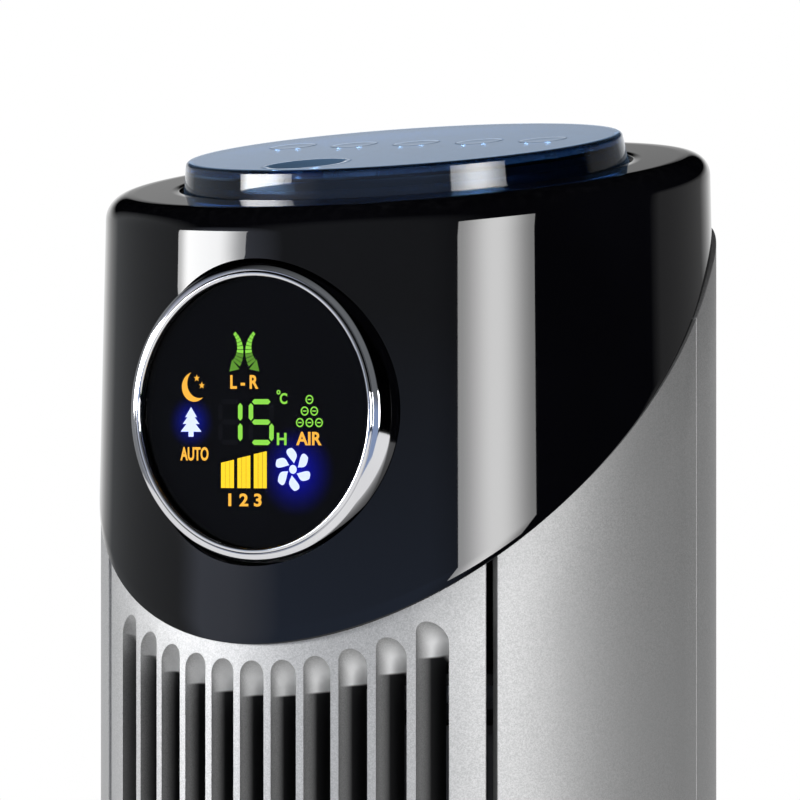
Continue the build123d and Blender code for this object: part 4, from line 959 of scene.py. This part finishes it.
# ---------------------------------------------------------------- display
class FAN_OT_display_ring(bpy.types.Operator):
    """Bright ring round the display with a leaning flank and a rolled lip."""
    bl_idname = "fan.display_ring"
    bl_label = "Display ring"

    def execute(self, context):
        outer, front = BEZEL_RADIUS, BEZEL_FRONT
        bore, sight = outer - 3.0 * MM, outer - 4.2 * MM
        flank = [(outer - inset * MM, front - drop * MM) for inset, drop in
                 ((0.0, 5.4), (0.06, 4.9), (0.95, 1.5), (1.2, 1.05), (1.6, 0.85), (2.7, 0.6), (2.9, 0.75))]
        roll = 0.78 * MM
        lip = arc((outer - 3.75 * MM, front - roll), roll, 15.0, 170.0, 13)
        sill = [(sight - inset * MM, WINDOW_FRONT + rise * MM) for inset, rise in
                ((0.25, 1.2), (0.25, 0.9), (0.0, 0.7), (0.0, 0.0))]
        profile = np.concatenate([[(bore, BEZEL_BACK), (outer, BEZEL_BACK)], flank, lip, sill,
                                  [(bore, WINDOW_FRONT)]])
        form = turned_solid(profile, 200, (0.0, 0.0, DISPLAY_Z), True, True)
        add_piece("display_ring", form, "column", "bright_ring", ["display_bezel"], crease=40.0)
        return {"FINISHED"}


class FAN_OT_display_glass(bpy.types.Operator):
    """Smoked disc of the display with a softened edge."""
    bl_idname = "fan.display_glass"
    bl_label = "Display glass"

    def execute(self, context):
        edge = 0.3 * MM
        inside = (0.0, 0.5 * WINDOW_RADIUS, WINDOW_RADIUS - 2.0 * edge)
        profile = np.concatenate([[(radius, WINDOW_FRONT) for radius in inside],
                                  arc((WINDOW_RADIUS - edge, WINDOW_FRONT - edge), edge, 90.0, 0.0, 4),
                                  arc((WINDOW_RADIUS - edge, WINDOW_BACK + edge), edge, 0.0, -90.0, 4),
                                  [(radius, WINDOW_BACK) for radius in reversed(inside)]])
        form = turned_solid(profile, 160, (0.0, 0.0, DISPLAY_Z), True)
        add_piece("display_glass", form, "column", "smoked_window", ["display_window"])
        return {"FINISHED"}


def film(outline):
    """Thin closed plate of a flat outline given in millimetres about the display's middle: X across, Z up."""
    flat = np.asarray(outline, dtype=float) * MM
    rings = [np.stack([flat[:, 0], np.full(len(flat), -y), flat[:, 1] + DISPLAY_Z], axis=-1)
             for y in (FILM_FRONT, FILM_BACK)]
    return np.concatenate(rings), prism_faces(len(flat))


def film_ring(centre, outer, inner, count):
    """Thin closed ring film."""
    inner, outer = inner * MM, outer * MM
    profile = [(inner, FILM_BACK), (outer, FILM_BACK), (outer, FILM_FRONT), (inner, FILM_FRONT)]
    return turned_solid(profile, count, (centre[0] * MM, 0.0, DISPLAY_Z + centre[1] * MM), True, True)


def box_outline(low_x, low_z, high_x, high_z):
    """Corners of a rectangle."""
    return [(low_x, low_z), (high_x, low_z), (high_x, high_z), (low_x, high_z)]


def band_outline(centre, inner, outer, start, end, count=6):
    """Piece of a ring between two radii and two angles."""
    return np.concatenate([arc(centre, outer, start, end, count), arc(centre, inner, end, start, count)])


def swing_arrow(side):
    """Arrow bowed away from the middle line, of separate bars that widen towards its head, for one side.
    Returns the bright upper bars and the darker lower ones with the head."""
    centre = (-5.2 + side * 7.3, 16.4)
    turn = 180.0 if side > 0 else 0.0
    bright, dark = [], []
    for i in range(9):
        start = -46.0 + 9.4 * i
        half = 0.45 + 0.11 * i
        first, last = turn + side * start, turn + side * (start + 7.8)
        (bright if i < 6 else dark).append(film(band_outline(centre, 6.0 - half, 6.0 + half, first, last, 4)))
    angle = radians(turn + side * 47.0)
    tip, wide = 6.0 * cos(angle), 6.0 * sin(angle)
    along = np.array([-side * sin(angle), side * cos(angle)])
    across = np.array([cos(angle), sin(angle)])
    foot = np.array([centre[0] + tip, centre[1] + wide]) - 0.7 * along
    dark.append(film([foot + 1.7 * across, foot + 2.7 * along, foot - 1.7 * across]))
    return bright, dark


def crescent(centre, radius, opening, shift, turn):
    """Moon: a disc's rim outside its opening (degrees each way), closed by the arc through the two tips whose
    middle lies shift off the disc's, all turned by turn."""
    across, up = radius * cos(radians(opening)) - shift, radius * sin(radians(opening))
    half = np.degrees(atan2(up, across))
    outer = arc((0.0, 0.0), radius, opening, 360.0 - opening, 36)
    inner = arc((shift, 0.0), np.hypot(across, up), 360.0 - half, half, 30)[1:-1]
    flat = np.concatenate([outer, inner])
    spin = np.array([[cos(turn), sin(turn)], [-sin(turn), cos(turn)]])
    return flat @ spin + np.asarray(centre)


def star(centre, radius):
    """Five-pointed star."""
    angle = np.radians(90.0 + 36.0 * np.arange(10))
    size = radius * np.where(np.arange(10) % 2 == 0, 1.0, 0.42)
    return np.stack([centre[0] + size * np.cos(angle), centre[1] + size * np.sin(angle)], axis=-1)


def pine(foot, width, height):
    """Conifer with three tiers and a trunk."""
    x, z = foot
    right = [(0.12, 0.0), (0.12, 0.17), (0.50, 0.17), (0.22, 0.43), (0.40, 0.43), (0.17, 0.66), (0.28, 0.66),
             (0.0, 1.0)]
    left = [(-across, up) for across, up in reversed(right[:-1])]
    return [(x + across * width, z + up * height) for across, up in right + left]


def petal(centre, turn, length):
    """Fan blade: a drop that leaves the hub and swells to one side."""
    share = np.linspace(0.0, 1.0, 12)
    swell = 0.30 * length * np.sin(pi * share ** 1.4) ** 0.8
    bow = 0.30 * length * np.sin(0.5 * pi * share)
    out = 0.30 * length + 0.70 * length * share
    upper, lower = np.stack([out, bow + swell], axis=-1), np.stack([out, bow - swell], axis=-1)
    edge = np.concatenate([upper, lower[-2:0:-1]])
    across = edge[:, 0] * cos(turn) - edge[:, 1] * sin(turn)
    up = edge[:, 0] * sin(turn) + edge[:, 1] * cos(turn)
    return np.stack([centre[0] + across, centre[1] + up], axis=-1)


def digit(shape, low_x, low_z, width, height, bar=1.35, gap=0.35):
    """Seven-segment figure from its lit segments, a to g: each bar has slanted ends."""
    high_x, high_z, middle = low_x + width, low_z + height, low_z + height / 2.0
    half = bar / 2.0
    parts = []
    for segment in shape:
        if segment in "agd":
            z = {"a": high_z - half, "g": middle, "d": low_z + half}[segment]
            x0, x1 = low_x + half + gap, high_x - half - gap
            parts.append(film([(x0, z), (x0 + half, z - half), (x1 - half, z - half), (x1, z),
                               (x1 - half, z + half), (x0 + half, z + half)]))
        else:
            x = high_x - half if segment in "bc" else low_x + half
            z0, z1 = (middle, high_z - half) if segment in "bf" else (low_z + half, middle)
            z0, z1 = z0 + gap, z1 - gap
            parts.append(film([(x, z0), (x + half, z0 + half), (x + half, z1 - half), (x, z1),
                               (x - half, z1 - half), (x - half, z0 + half)]))
    return parts


def label(name, words, low_x, low_z, high_x, high_z):
    """Flat words fitted into a rectangle of the display, as a thin closed mesh."""
    curve = bpy.data.curves.new(name, "FONT")
    curve.body = words
    curve.extrude = 0.5
    curve.offset = 0.028
    curve.resolution_u = 4
    holder = bpy.data.objects.new(name + "_words", curve)
    bpy.context.scene.collection.objects.link(holder)
    mesh = bpy.data.meshes.new_from_object(holder.evaluated_get(bpy.context.evaluated_depsgraph_get()))
    flat = np.empty(len(mesh.vertices) * 3)
    mesh.vertices.foreach_get("co", flat)
    flat = flat.reshape(-1, 3)
    low, high = flat.min(axis=0), flat.max(axis=0)
    share = (flat - low) / np.maximum(high - low, 1e-9)
    x = (low_x + share[:, 0] * (high_x - low_x)) * MM
    z = (low_z + share[:, 1] * (high_z - low_z)) * MM + DISPLAY_Z
    y = -(LIGHT_FRONT + FILM * (0.6 + share[:, 2]))
    faces = [list(face.vertices) for face in mesh.polygons]
    bpy.data.objects.remove(holder)
    return np.stack([x, y, z], axis=-1), faces


def glow(name, centre, radius, colour, strength):
    """Soft light round a picture: a thin disc that fades from its middle to its rim."""
    finish = Finish(name, Emission_Strength=strength, Roughness=0.6)
    spot = add_node(finish.tree, "ShaderNodeMapping", in_0=place_in(finish.tree),
                    in_Location=(-centre[0] / radius, 0.0, -(centre[1] + DISPLAY_Z / MM) / radius),
                    in_Scale=(1.0 / (radius * MM), 0.0, 1.0 / (radius * MM)))
    ball = add_node(finish.tree, "ShaderNodeTexGradient", gradient_type="QUADRATIC_SPHERE",
                    in_0=spot.outputs[0]).outputs["Fac"]
    finish.set(Emission_Color=finish.blend(ball, (0.0, 0.0, 0.0), colour),
               Base_Color=finish.blend(ball, (0.006, 0.006, 0.009), (0.01, 0.01, 0.02)))
    points, faces = film(arc(centre, radius, 0.0, 352.5, 48))
    points[:, 1] += 0.55 * FILM
    add_piece(name, (points, faces), "column", "light_block", (), name, crease=30.0)


def show_film(name, parts, finish):
    """One piece of lit film from several outlines."""
    add_piece(name, joined(*parts), "column", "light_block", (), finish, crease=30.0)


class FAN_OT_display_symbols(bpy.types.Operator):
    """Lit figures, words and pictures behind the display's glass."""
    bl_idname = "fan.display_symbols"
    bl_label = "Display symbols"

    def execute(self, context):
        right, left = swing_arrow(1.0), swing_arrow(-1.0)
        show_film("swing_symbol", right[0] + left[0], "lit_green")
        show_film("swing_heads", right[1] + left[1], "dim_green")
        tens, units = (-13.4, -8.6, 7.6, 12.0), (-3.8, -8.6, 7.8, 12.0)
        show_film("hour_figures", digit("bc", *tens) + digit("afgcd", *units), "lit_green")
        # The unlit segments carry a faint painted glow.
        show_film("unlit_figures", digit("afged", *tens) + digit("be", *units), "unlit")
        show_film("unit_signs", [film_ring((5.5, 5.2), 0.6, 0.25, 20),
                                 label("celsius", "C", 5.9, 2.1, 8.2, 5.0),
                                 label("hours", "H", 5.0, -8.6, 8.0, -5.4)], "lit_green")
        rings = []
        for row, count in ((3.3, 1), (0.3, 2), (-2.7, 3)):
            for x in (15.1 + step for step in spaced(count, 2.95)):
                rings += [film_ring((x, row), 1.2, 0.85, 28),
                          film(box_outline(x - 0.55, row - 0.16, x + 0.55, row + 0.16))]
        show_film("air_symbol", rings, "lit_green")
        show_film("night_symbol", [film(crescent((-21.0, 6.6), 3.9, 75.0, 1.87, radians(30.0))),
                                   film(star((-20.2, 8.9), 0.95)),
                                   film(star((-18.6, 7.0), 0.95))], "lit_amber")
        show_film("words", [label("swing_word", "L - R", -9.6, 6.1, -0.8, 9.7),
                            label("mode_word", "AUTO", -25.4, -12.8, -16.5, -9.2),
                            label("air_word", "AIR", 11.0, -8.6, 18.9, -5.1),
                            label("speed_word", "1 2 3", -10.2, -24.7, 0.2, -21.3)], "lit_amber")
        bars = []
        for group in range(3):
            for i in range(3):
                x = -12.5 + 5.15 * group + 1.38 * i
                top = -13.3 + 1.15 * group + 0.28 * i
                bars.append(film([(x, -19.9), (x + 1.26, -19.9), (x + 1.26, top + 0.25), (x, top)]))
        show_film("speed_bars", bars, "lit_yellow")
        show_film("mode_symbol", [film(pine((-22.0, -6.5), 6.6, 7.8))], "lit_blue")
        hub = (10.0, -14.9)
        blades = [film(petal(hub, i * pi / 3.0 + 0.3, 5.4)) for i in range(6)]
        show_film("blower_symbol", [film(arc(hub, 1.15, 0.0, 345.0, 24))] + blades, "lit_blue")
        glow("tree_glow", (-22.0, -2.6), 7.5, (0.01, 0.03, 1.0), 3.2)
        glow("blower_glow", (11.0, -15.4), 12.5, (0.008, 0.012, 1.0), 4.0)
        return {"FINISHED"}


# ---------------------------------------------------------------- column
class FAN_OT_front_grille(bpy.types.Operator):
    """Front panel: a deep oval wall with scooped slots that follow the head's edge."""
    bl_idname = "fan.front_grille"
    bl_label = "Front grille"

    def execute(self, context):
        size = context.scene.fan_column
        end = turn_at_x(GRILLE_HALF)
        turns = np.linspace(-pi - end, end, 120)
        piece = new_object("grille", *upright_wall(turns, 0.0, size.grille_depth, PANEL_LOW, -size.seam, 40))
        round_edges(piece, 0.3 * MM)
        bake_modifiers(piece)
        cutters = []
        outermost = size.slot_pitch * (size.slot_count - 1) / 2.0
        ahead, behind = size.slot_width, 2.0 * size.grille_depth
        fall = size.slot_scoop / size.grille_depth
        for x in spaced(size.slot_count, size.slot_pitch):
            y = -HALF_DEPTH * sqrt(1.0 - (x / HALF_WIDTH) ** 2)
            margin = size.slot_margin + (size.slot_margin_side - size.slot_margin) * (x / outermost) ** 2
            top = float(edge_height(np.array(y))) - margin
            cutters.append(slot_prism(x, y - ahead, y + behind, top + fall * ahead,
                                      size.slot_bottom - fall * ahead, size.slot_width, size.slot_width / 2.0,
                                      fall * (ahead + behind)))
        cut_away(piece, *joined(*cutters))
        finish_piece(piece, "column", "silver_paint", ["front_grille"], "slotted_silver")
        bars, rail, rail_half = [], 4.0 * MM, 50.0 * MM
        slot_top = float(edge_height(np.array(-HALF_DEPTH))) - size.slot_margin
        span = np.linspace(-pi - turn_at_x(rail_half), turn_at_x(rail_half), 60)
        for i in range(3):
            z = size.slot_bottom + (slot_top - size.slot_bottom) * (i + 1) / 4.0
            bars.append(bar_form(span, size.grille_depth - rail, size.grille_depth - 0.05 * MM, z, z + rail))
        add_piece("grille_rails", joined(*bars), "column", "silver_paint", (), "dark_plastic")
        return {"FINISHED"}


def bar_form(turns, outer, inner, low, high, closed=False):
    """Level bar along the oval between two insets and two heights: a ring, or a bar with its ends filled."""
    corners = []
    for inset, z in ((outer, low), (outer, high), (inner, high), (inner, low)):
        x, y = oval(turns, inset)
        corners.append(np.stack([x, y, np.full_like(x, z)], axis=-1))
    faces = grid_faces(len(turns), 4, closed, True)
    if not closed:
        last = 4 * (len(turns) - 1)
        faces += [[0, 1, 2, 3], [last, last + 1, last + 2, last + 3]]
    return np.stack(corners, axis=1), faces


class FAN_OT_side_panels(bpy.types.Operator):
    """Smooth silver panels, folded in beside the grille."""
    bl_idname = "fan.side_panels"
    bl_label = "Side panels"

    def execute(self, context):
        size = context.scene.fan_column
        start, fold = turn_at_x(PANEL_EDGE), turn_at_x(PANEL_EDGE + size.panel_fold)
        end = turn_at_y(REAR_FRONT - 2.0 * size.seam)
        turns = np.concatenate([np.linspace(start, fold, 5), np.linspace(fold + 1e-4, end, 90)])
        inner = np.where(turns <= fold + 1e-6, size.groove_depth, size.skin)
        for side, name in ((1.0, "right"), (-1.0, "left")):
            here = turns if side > 0 else -pi - turns
            form = upright_wall(here, 0.0 * inner, inner, PANEL_LOW, -size.seam, 30)
            add_piece("panel_" + name, form, "column", "silver_paint", ["side_panel_" + name],
                      rounding=0.35 * MM)
        return {"FINISHED"}


class FAN_OT_rear_housing(bpy.types.Operator):
    """Back of the column with its tiers of intake slots."""
    bl_idname = "fan.rear_housing"
    bl_label = "Rear housing"

    def execute(self, context):
        size = context.scene.fan_column
        start = turn_at_y(REAR_FRONT)
        turns = np.linspace(start, pi - start, 200)
        piece = new_object("rear_cover", *upright_wall(turns, 0.0, size.skin, PANEL_LOW, -size.seam, 30))
        round_edges(piece, 0.35 * MM)
        bake_modifiers(piece)
        slots = size.intake_high - size.intake_low - (size.intake_tiers - 1) * size.intake_bar
        tier = slots / size.intake_tiers
        cutters = []
        for i in range(size.intake_tiers):
            low = size.intake_low + i * (tier + size.intake_bar)
            for x in spaced(size.intake_count, size.intake_pitch):
                cutters.append(slot_prism(x, 30.0 * MM, HALF_DEPTH + 10.0 * MM, low + tier, low,
                                          size.intake_width, corner=0.4 * MM, steps=4))
        cut_away(piece, *joined(*cutters))
        finish_piece(piece, "column", "silver_paint", ["rear_housing"])
        return {"FINISHED"}


class FAN_OT_lower_collar(bpy.types.Operator):
    """Gloss band round the foot of the column."""
    bl_idname = "fan.lower_collar"
    bl_label = "Lower collar"

    def execute(self, context):
        turns = np.linspace(0.0, 2.0 * pi, 240, endpoint=False)
        form = bar_form(turns, -COLLAR_PROUD, context.scene.fan_column.skin, COLLAR_LOW, COLLAR_HIGH, True)
        add_piece("collar_band", form, "column", "gloss_black", ["lower_collar"], rounding=0.5 * MM)
        return {"FINISHED"}


# ---------------------------------------------------------------- base
class FAN_OT_base_cover(bpy.types.Operator):
    """Domed round base with its pivot bore, swing stop and cord hole."""
    bl_idname = "fan.base_cover"
    bl_label = "Base cover"

    def execute(self, context):
        size = context.scene.fan_column
        rim, low, top, flat = BASE_RADIUS, BASE_LOW, size.base_top, size.base_flat

        def dome(inset):
            """Section of the dome drawn in by inset, from the rim to the flat top."""
            start, end = np.array([rim - inset, size.base_rim]), np.array([flat, top - inset])
            middle = start + (end - start) * np.array([0.5, 0.66]) + np.array([7.0 * MM, 0.0])
            return three_point_arc(start, middle, end, 48)

        corner = 1.0 * MM
        foot = arc((rim - corner, low + corner), corner, -90.0, 0.0, 5)
        under = top - LAND_HEIGHT
        land = [(size.pivot_radius, top), (size.pivot_radius, under), (LAND_RADIUS, under),
                (LAND_RADIUS, top - size.base_wall)]
        profile = np.concatenate([[(rim - size.base_wall, low)], foot, dome(0.0), land,
                                  dome(size.base_wall)[::-1]])
        piece = new_object("base_cover", *turned_solid(profile, 256, ring=True))
        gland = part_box("cord_gland")
        height, radius = (gland[0][2] + gland[1][2]) / 2.0, (gland[1][0] - gland[0][0]) / 2.0
        hole = rod(radius + HOLE_GAP, -200.0 * MM, -120.0 * MM)
        cut_away(piece, *turned_solid(hole, 64, (0.0, 0.0, height), True))
        finish_piece(piece, "base", "gloss_black", ["base_shell"])
        add_piece("swing_stop", stop_form(top), "base", "gloss_black", rounding=0.3 * MM)
        return {"FINISHED"}


def three_point_arc(start, middle, end, count):
    """Arc through three points: its centre is equally far from all three."""
    matrix = 2.0 * np.array([middle - start, end - start])
    right = np.array([middle @ middle - start @ start, end @ end - start @ start])
    centre = np.linalg.solve(matrix, right)
    angles = [np.degrees(atan2(*(point - centre)[::-1])) for point in (start, end)]
    return arc(centre, float(np.linalg.norm(start - centre)), angles[0], angles[1], count)


def stop_form(low):
    """Block that stands in front of the pivot, from a height low up."""
    half = STOP_WIDTH / 2.0
    ends = [(-half, -STOP_INNER), (half, -STOP_INNER), (half, -STOP_OUTER), (-half, -STOP_OUTER)]
    return np.array([(x, y, z) for z in (low, low + STOP_HEIGHT) for x, y in ends]), prism_faces(4)


# ---------------------------------------------------------------- parts whose shape stays the frame's own
class FAN_OT_carried_parts(bpy.types.Operator):
    """Finishes for every part that keeps the frame's own shape."""
    bl_idname = "fan.carried_parts"
    bl_label = "Carried parts"

    def execute(self, context):
        for name, part in frame["nodes"].items():
            for place in part.material_slots:
                place.material = finish_of(SLOT_OF[name])
        return {"FINISHED"}


# ---------------------------------------------------------------- studio
def soft_box(name, centre, width, height, power, near_edge, far_edge):
    """Rectangular studio lamp aimed at the fan. Its cloth darkens towards its two upright edges over the
    given shares of its width."""
    lamp = bpy.data.lights.new(name, "AREA")
    lamp.shape = "RECTANGLE"
    lamp.size, lamp.size_y = width, height
    lamp.energy = power
    lamp.use_nodes = True
    tree = lamp.node_tree
    across = split(tree, tree.nodes.new("ShaderNodeNewGeometry").outputs["Parametric"])["X"]
    near = ramp(tree, across, 0.0, near_edge, 0.4, shape="SMOOTHSTEP")
    far = ramp(tree, across, 1.0, 1.0 - far_edge, 0.3, shape="SMOOTHSTEP")
    tree.links.new(calculate(tree, "MULTIPLY", near, far), tree.nodes["Emission"].inputs["Strength"])
    holder = bpy.data.objects.new(name, lamp)
    bpy.context.scene.collection.objects.link(holder)
    holder.location = centre
    aim = type(holder.location)(LAMP_TARGET) - holder.location
    holder.rotation_euler = aim.to_track_quat("-Z", "Y").to_euler()


def round_the_fan(bearing, distance, height):
    """Place at a bearing from the front, a distance and a height."""
    return (distance * sin(bearing), -distance * cos(bearing), height)


class FAN_OT_studio(bpy.types.Operator):
    """Pale floor, white surroundings, soft boxes and the camera."""
    bl_idname = "fan.studio"
    bl_label = "Studio"

    def execute(self, context):
        scene = context.scene
        scene.view_settings.view_transform = "Standard"
        self.make_world(scene)
        self.make_floor()
        soft_box("left_box", round_the_fan(radians(-50.5), 2.2, 1.09), width=1.16, height=0.52, power=35.0,
                 near_edge=0.2, far_edge=0.4)
        soft_box("right_box", round_the_fan(radians(53.0), 2.6, 0.90), width=1.35, height=0.80, power=50.0,
                 near_edge=0.45, far_edge=0.5)
        self.make_camera(scene)
        return {"FINISHED"}

    def make_world(self, scene):
        """White to the camera, an even soft grey to the surfaces, and for reflections a room: a white
        backdrop behind the fan, a dim blue front, a grey left side and darkness elsewhere."""
        world = bpy.data.worlds.new("studio")
        scene.world = world
        world.use_nodes = True
        tree = world.node_tree
        path = tree.nodes.new("ShaderNodeLightPath").outputs
        place = place_in(tree, "Generated")

        def toward(direction, low, high):
            """Mask that rises from 0 to 1 as a direction's share along another goes from low to high."""
            return ramp(tree, measure(tree, "DOT_PRODUCT", place, direction), low, high)

        def both(first, second):
            """Two masks as one."""
            return calculate(tree, "MULTIPLY", first, second)

        down = (0.0, 0.0, -1.0)
        low_part = toward(down, -0.26, -0.14)
        behind = (-sin(VIEW_BEARING), cos(VIEW_BEARING), 0.0)
        front = toward((0.0, -1.0, 0.0), 0.62, 0.88)
        colour = (0.0, 0.0, 0.0)
        for mask, value in ((front, (0.17, 0.18, 0.19)),
                            (both(front, toward(down, -0.06, 0.0)), (0.30, 0.39, 0.60)),
                            (toward((-0.743, -0.669, 0.0), 0.90, 0.99), (0.72, 0.78, 0.95)),
                            (toward((-1.0, 0.0, 0.0), 0.80, 0.90), (0.26, 0.27, 0.28)),
                            (both(toward((-0.078, 0.997, 0.0), 0.54, 0.64), low_part), (0.24, 0.24, 0.24)),
                            (both(toward(behind, 0.80, 0.96), low_part), (1.0, 1.0, 1.0))):
            colour = mixed(tree, mask, colour, value)
        mirrored = calculate(tree, "MAXIMUM", path["Is Glossy Ray"], path["Is Transmission Ray"])
        colour = mixed(tree, mirrored, (0.49, 0.50, 0.51), colour)
        colour = mixed(tree, path["Is Camera Ray"], colour, (1.0, 1.0, 1.0))
        tree.links.new(colour, tree.nodes["Background"].inputs["Color"])

    def make_floor(self):
        """Round pale floor that fades into the white surroundings away from the fan."""
        rings = [(radius, 0.0) for radius in (0.0, 0.5, 1.0, 2.0, 4.0)]
        floor = new_object("floor", *turned_solid(rings, 96))
        finish = Finish("pale_floor", Roughness=0.6)
        tone = finish.group("moulded_grain", Scale=60.0)["Tone"]
        finish.set(Base_Color=finish.blend(tone, (0.80, 0.80, 0.80), (0.84, 0.84, 0.84)))
        tree = finish.tree
        path = tree.nodes.new("ShaderNodeLightPath").outputs
        far = measure(tree, "LENGTH", place_in(tree))
        fades = [calculate(tree, "MULTIPLY", path[ray], ramp(tree, far, low, high, shape="SMOOTHSTEP"))
                 for ray, low, high in (("Is Camera Ray", 0.35, 1.3), ("Is Glossy Ray", 0.16, 0.45))]
        white = add_node(tree, "ShaderNodeEmission", in_1=1.0).outputs[0]
        mix = add_node(tree, "ShaderNodeMixShader", in_0=calculate(tree, "MAXIMUM", *fades),
                       in_1=finish.shader.outputs[0], in_2=white)
        tree.links.new(mix.outputs[0], tree.nodes["Material Output"].inputs[0])
        floor.data.materials.append(finish.material)

    def make_camera(self, scene):
        """Long lens level with the display, a little to the right."""
        data = bpy.data.cameras.new("camera")
        data.lens, data.sensor_width = 270.0, 36.0
        data.shift_x, data.shift_y = -0.0088, -0.0035
        data.clip_start, data.clip_end = 0.05, 50.0
        camera = bpy.data.objects.new("camera", data)
        scene.collection.objects.link(camera)
        camera.location = round_the_fan(VIEW_BEARING, VIEW_DISTANCE, VIEW_HEIGHT)
        camera.rotation_euler = (radians(90.0), 0.0, VIEW_BEARING)
        scene.camera = camera


# ---------------------------------------------------------------- panel and registration
OPERATORS = (FAN_OT_studio, FAN_OT_carried_parts, FAN_OT_head_cover, FAN_OT_top_lens, FAN_OT_keys,
             FAN_OT_display_ring, FAN_OT_display_glass, FAN_OT_display_symbols, FAN_OT_front_grille,
             FAN_OT_side_panels, FAN_OT_rear_housing, FAN_OT_lower_collar, FAN_OT_base_cover)
GROUPS = (("fan_column", FanColumnSizes), ("fan_head", FanHeadSizes), ("fan_colours", FanColours))


class FAN_PT_dressing(bpy.types.Panel):
    """Lists the fan's pieces and their sizes in the 3D view's sidebar."""
    bl_idname = "FAN_PT_dressing"
    bl_label = "Tower fan"
    bl_space_type = "VIEW_3D"
    bl_region_type = "UI"
    bl_category = "Tower fan"

    def draw(self, context):
        for operator in OPERATORS:
            self.layout.operator(operator.bl_idname)
        for name, group in GROUPS:
            box = self.layout.box()
            for key in group.__annotations__:
                box.prop(getattr(context.scene, name), key)


def register():
    """Adds the classes and the size groups to Blender."""
    for name, group in GROUPS:
        bpy.utils.register_class(group)
        setattr(bpy.types.Scene, name, PointerProperty(type=group))
    for item in OPERATORS + (FAN_PT_dressing,):
        bpy.utils.register_class(item)


def unregister():
    """Takes them away again."""
    for item in reversed(OPERATORS + (FAN_PT_dressing,)):
        bpy.utils.unregister_class(item)
    for name, group in reversed(GROUPS):
        delattr(bpy.types.Scene, name)
        bpy.utils.unregister_class(group)


def main():
    """Registers the add-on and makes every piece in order."""
    register()
    for operator in OPERATORS:
        section, name = operator.bl_idname.split(".")
        result = getattr(getattr(bpy.ops, section), name)()
        if result != {"FINISHED"}:
            raise RuntimeError(operator.bl_label + " was not made")


if __name__ == "__main__":
    main()
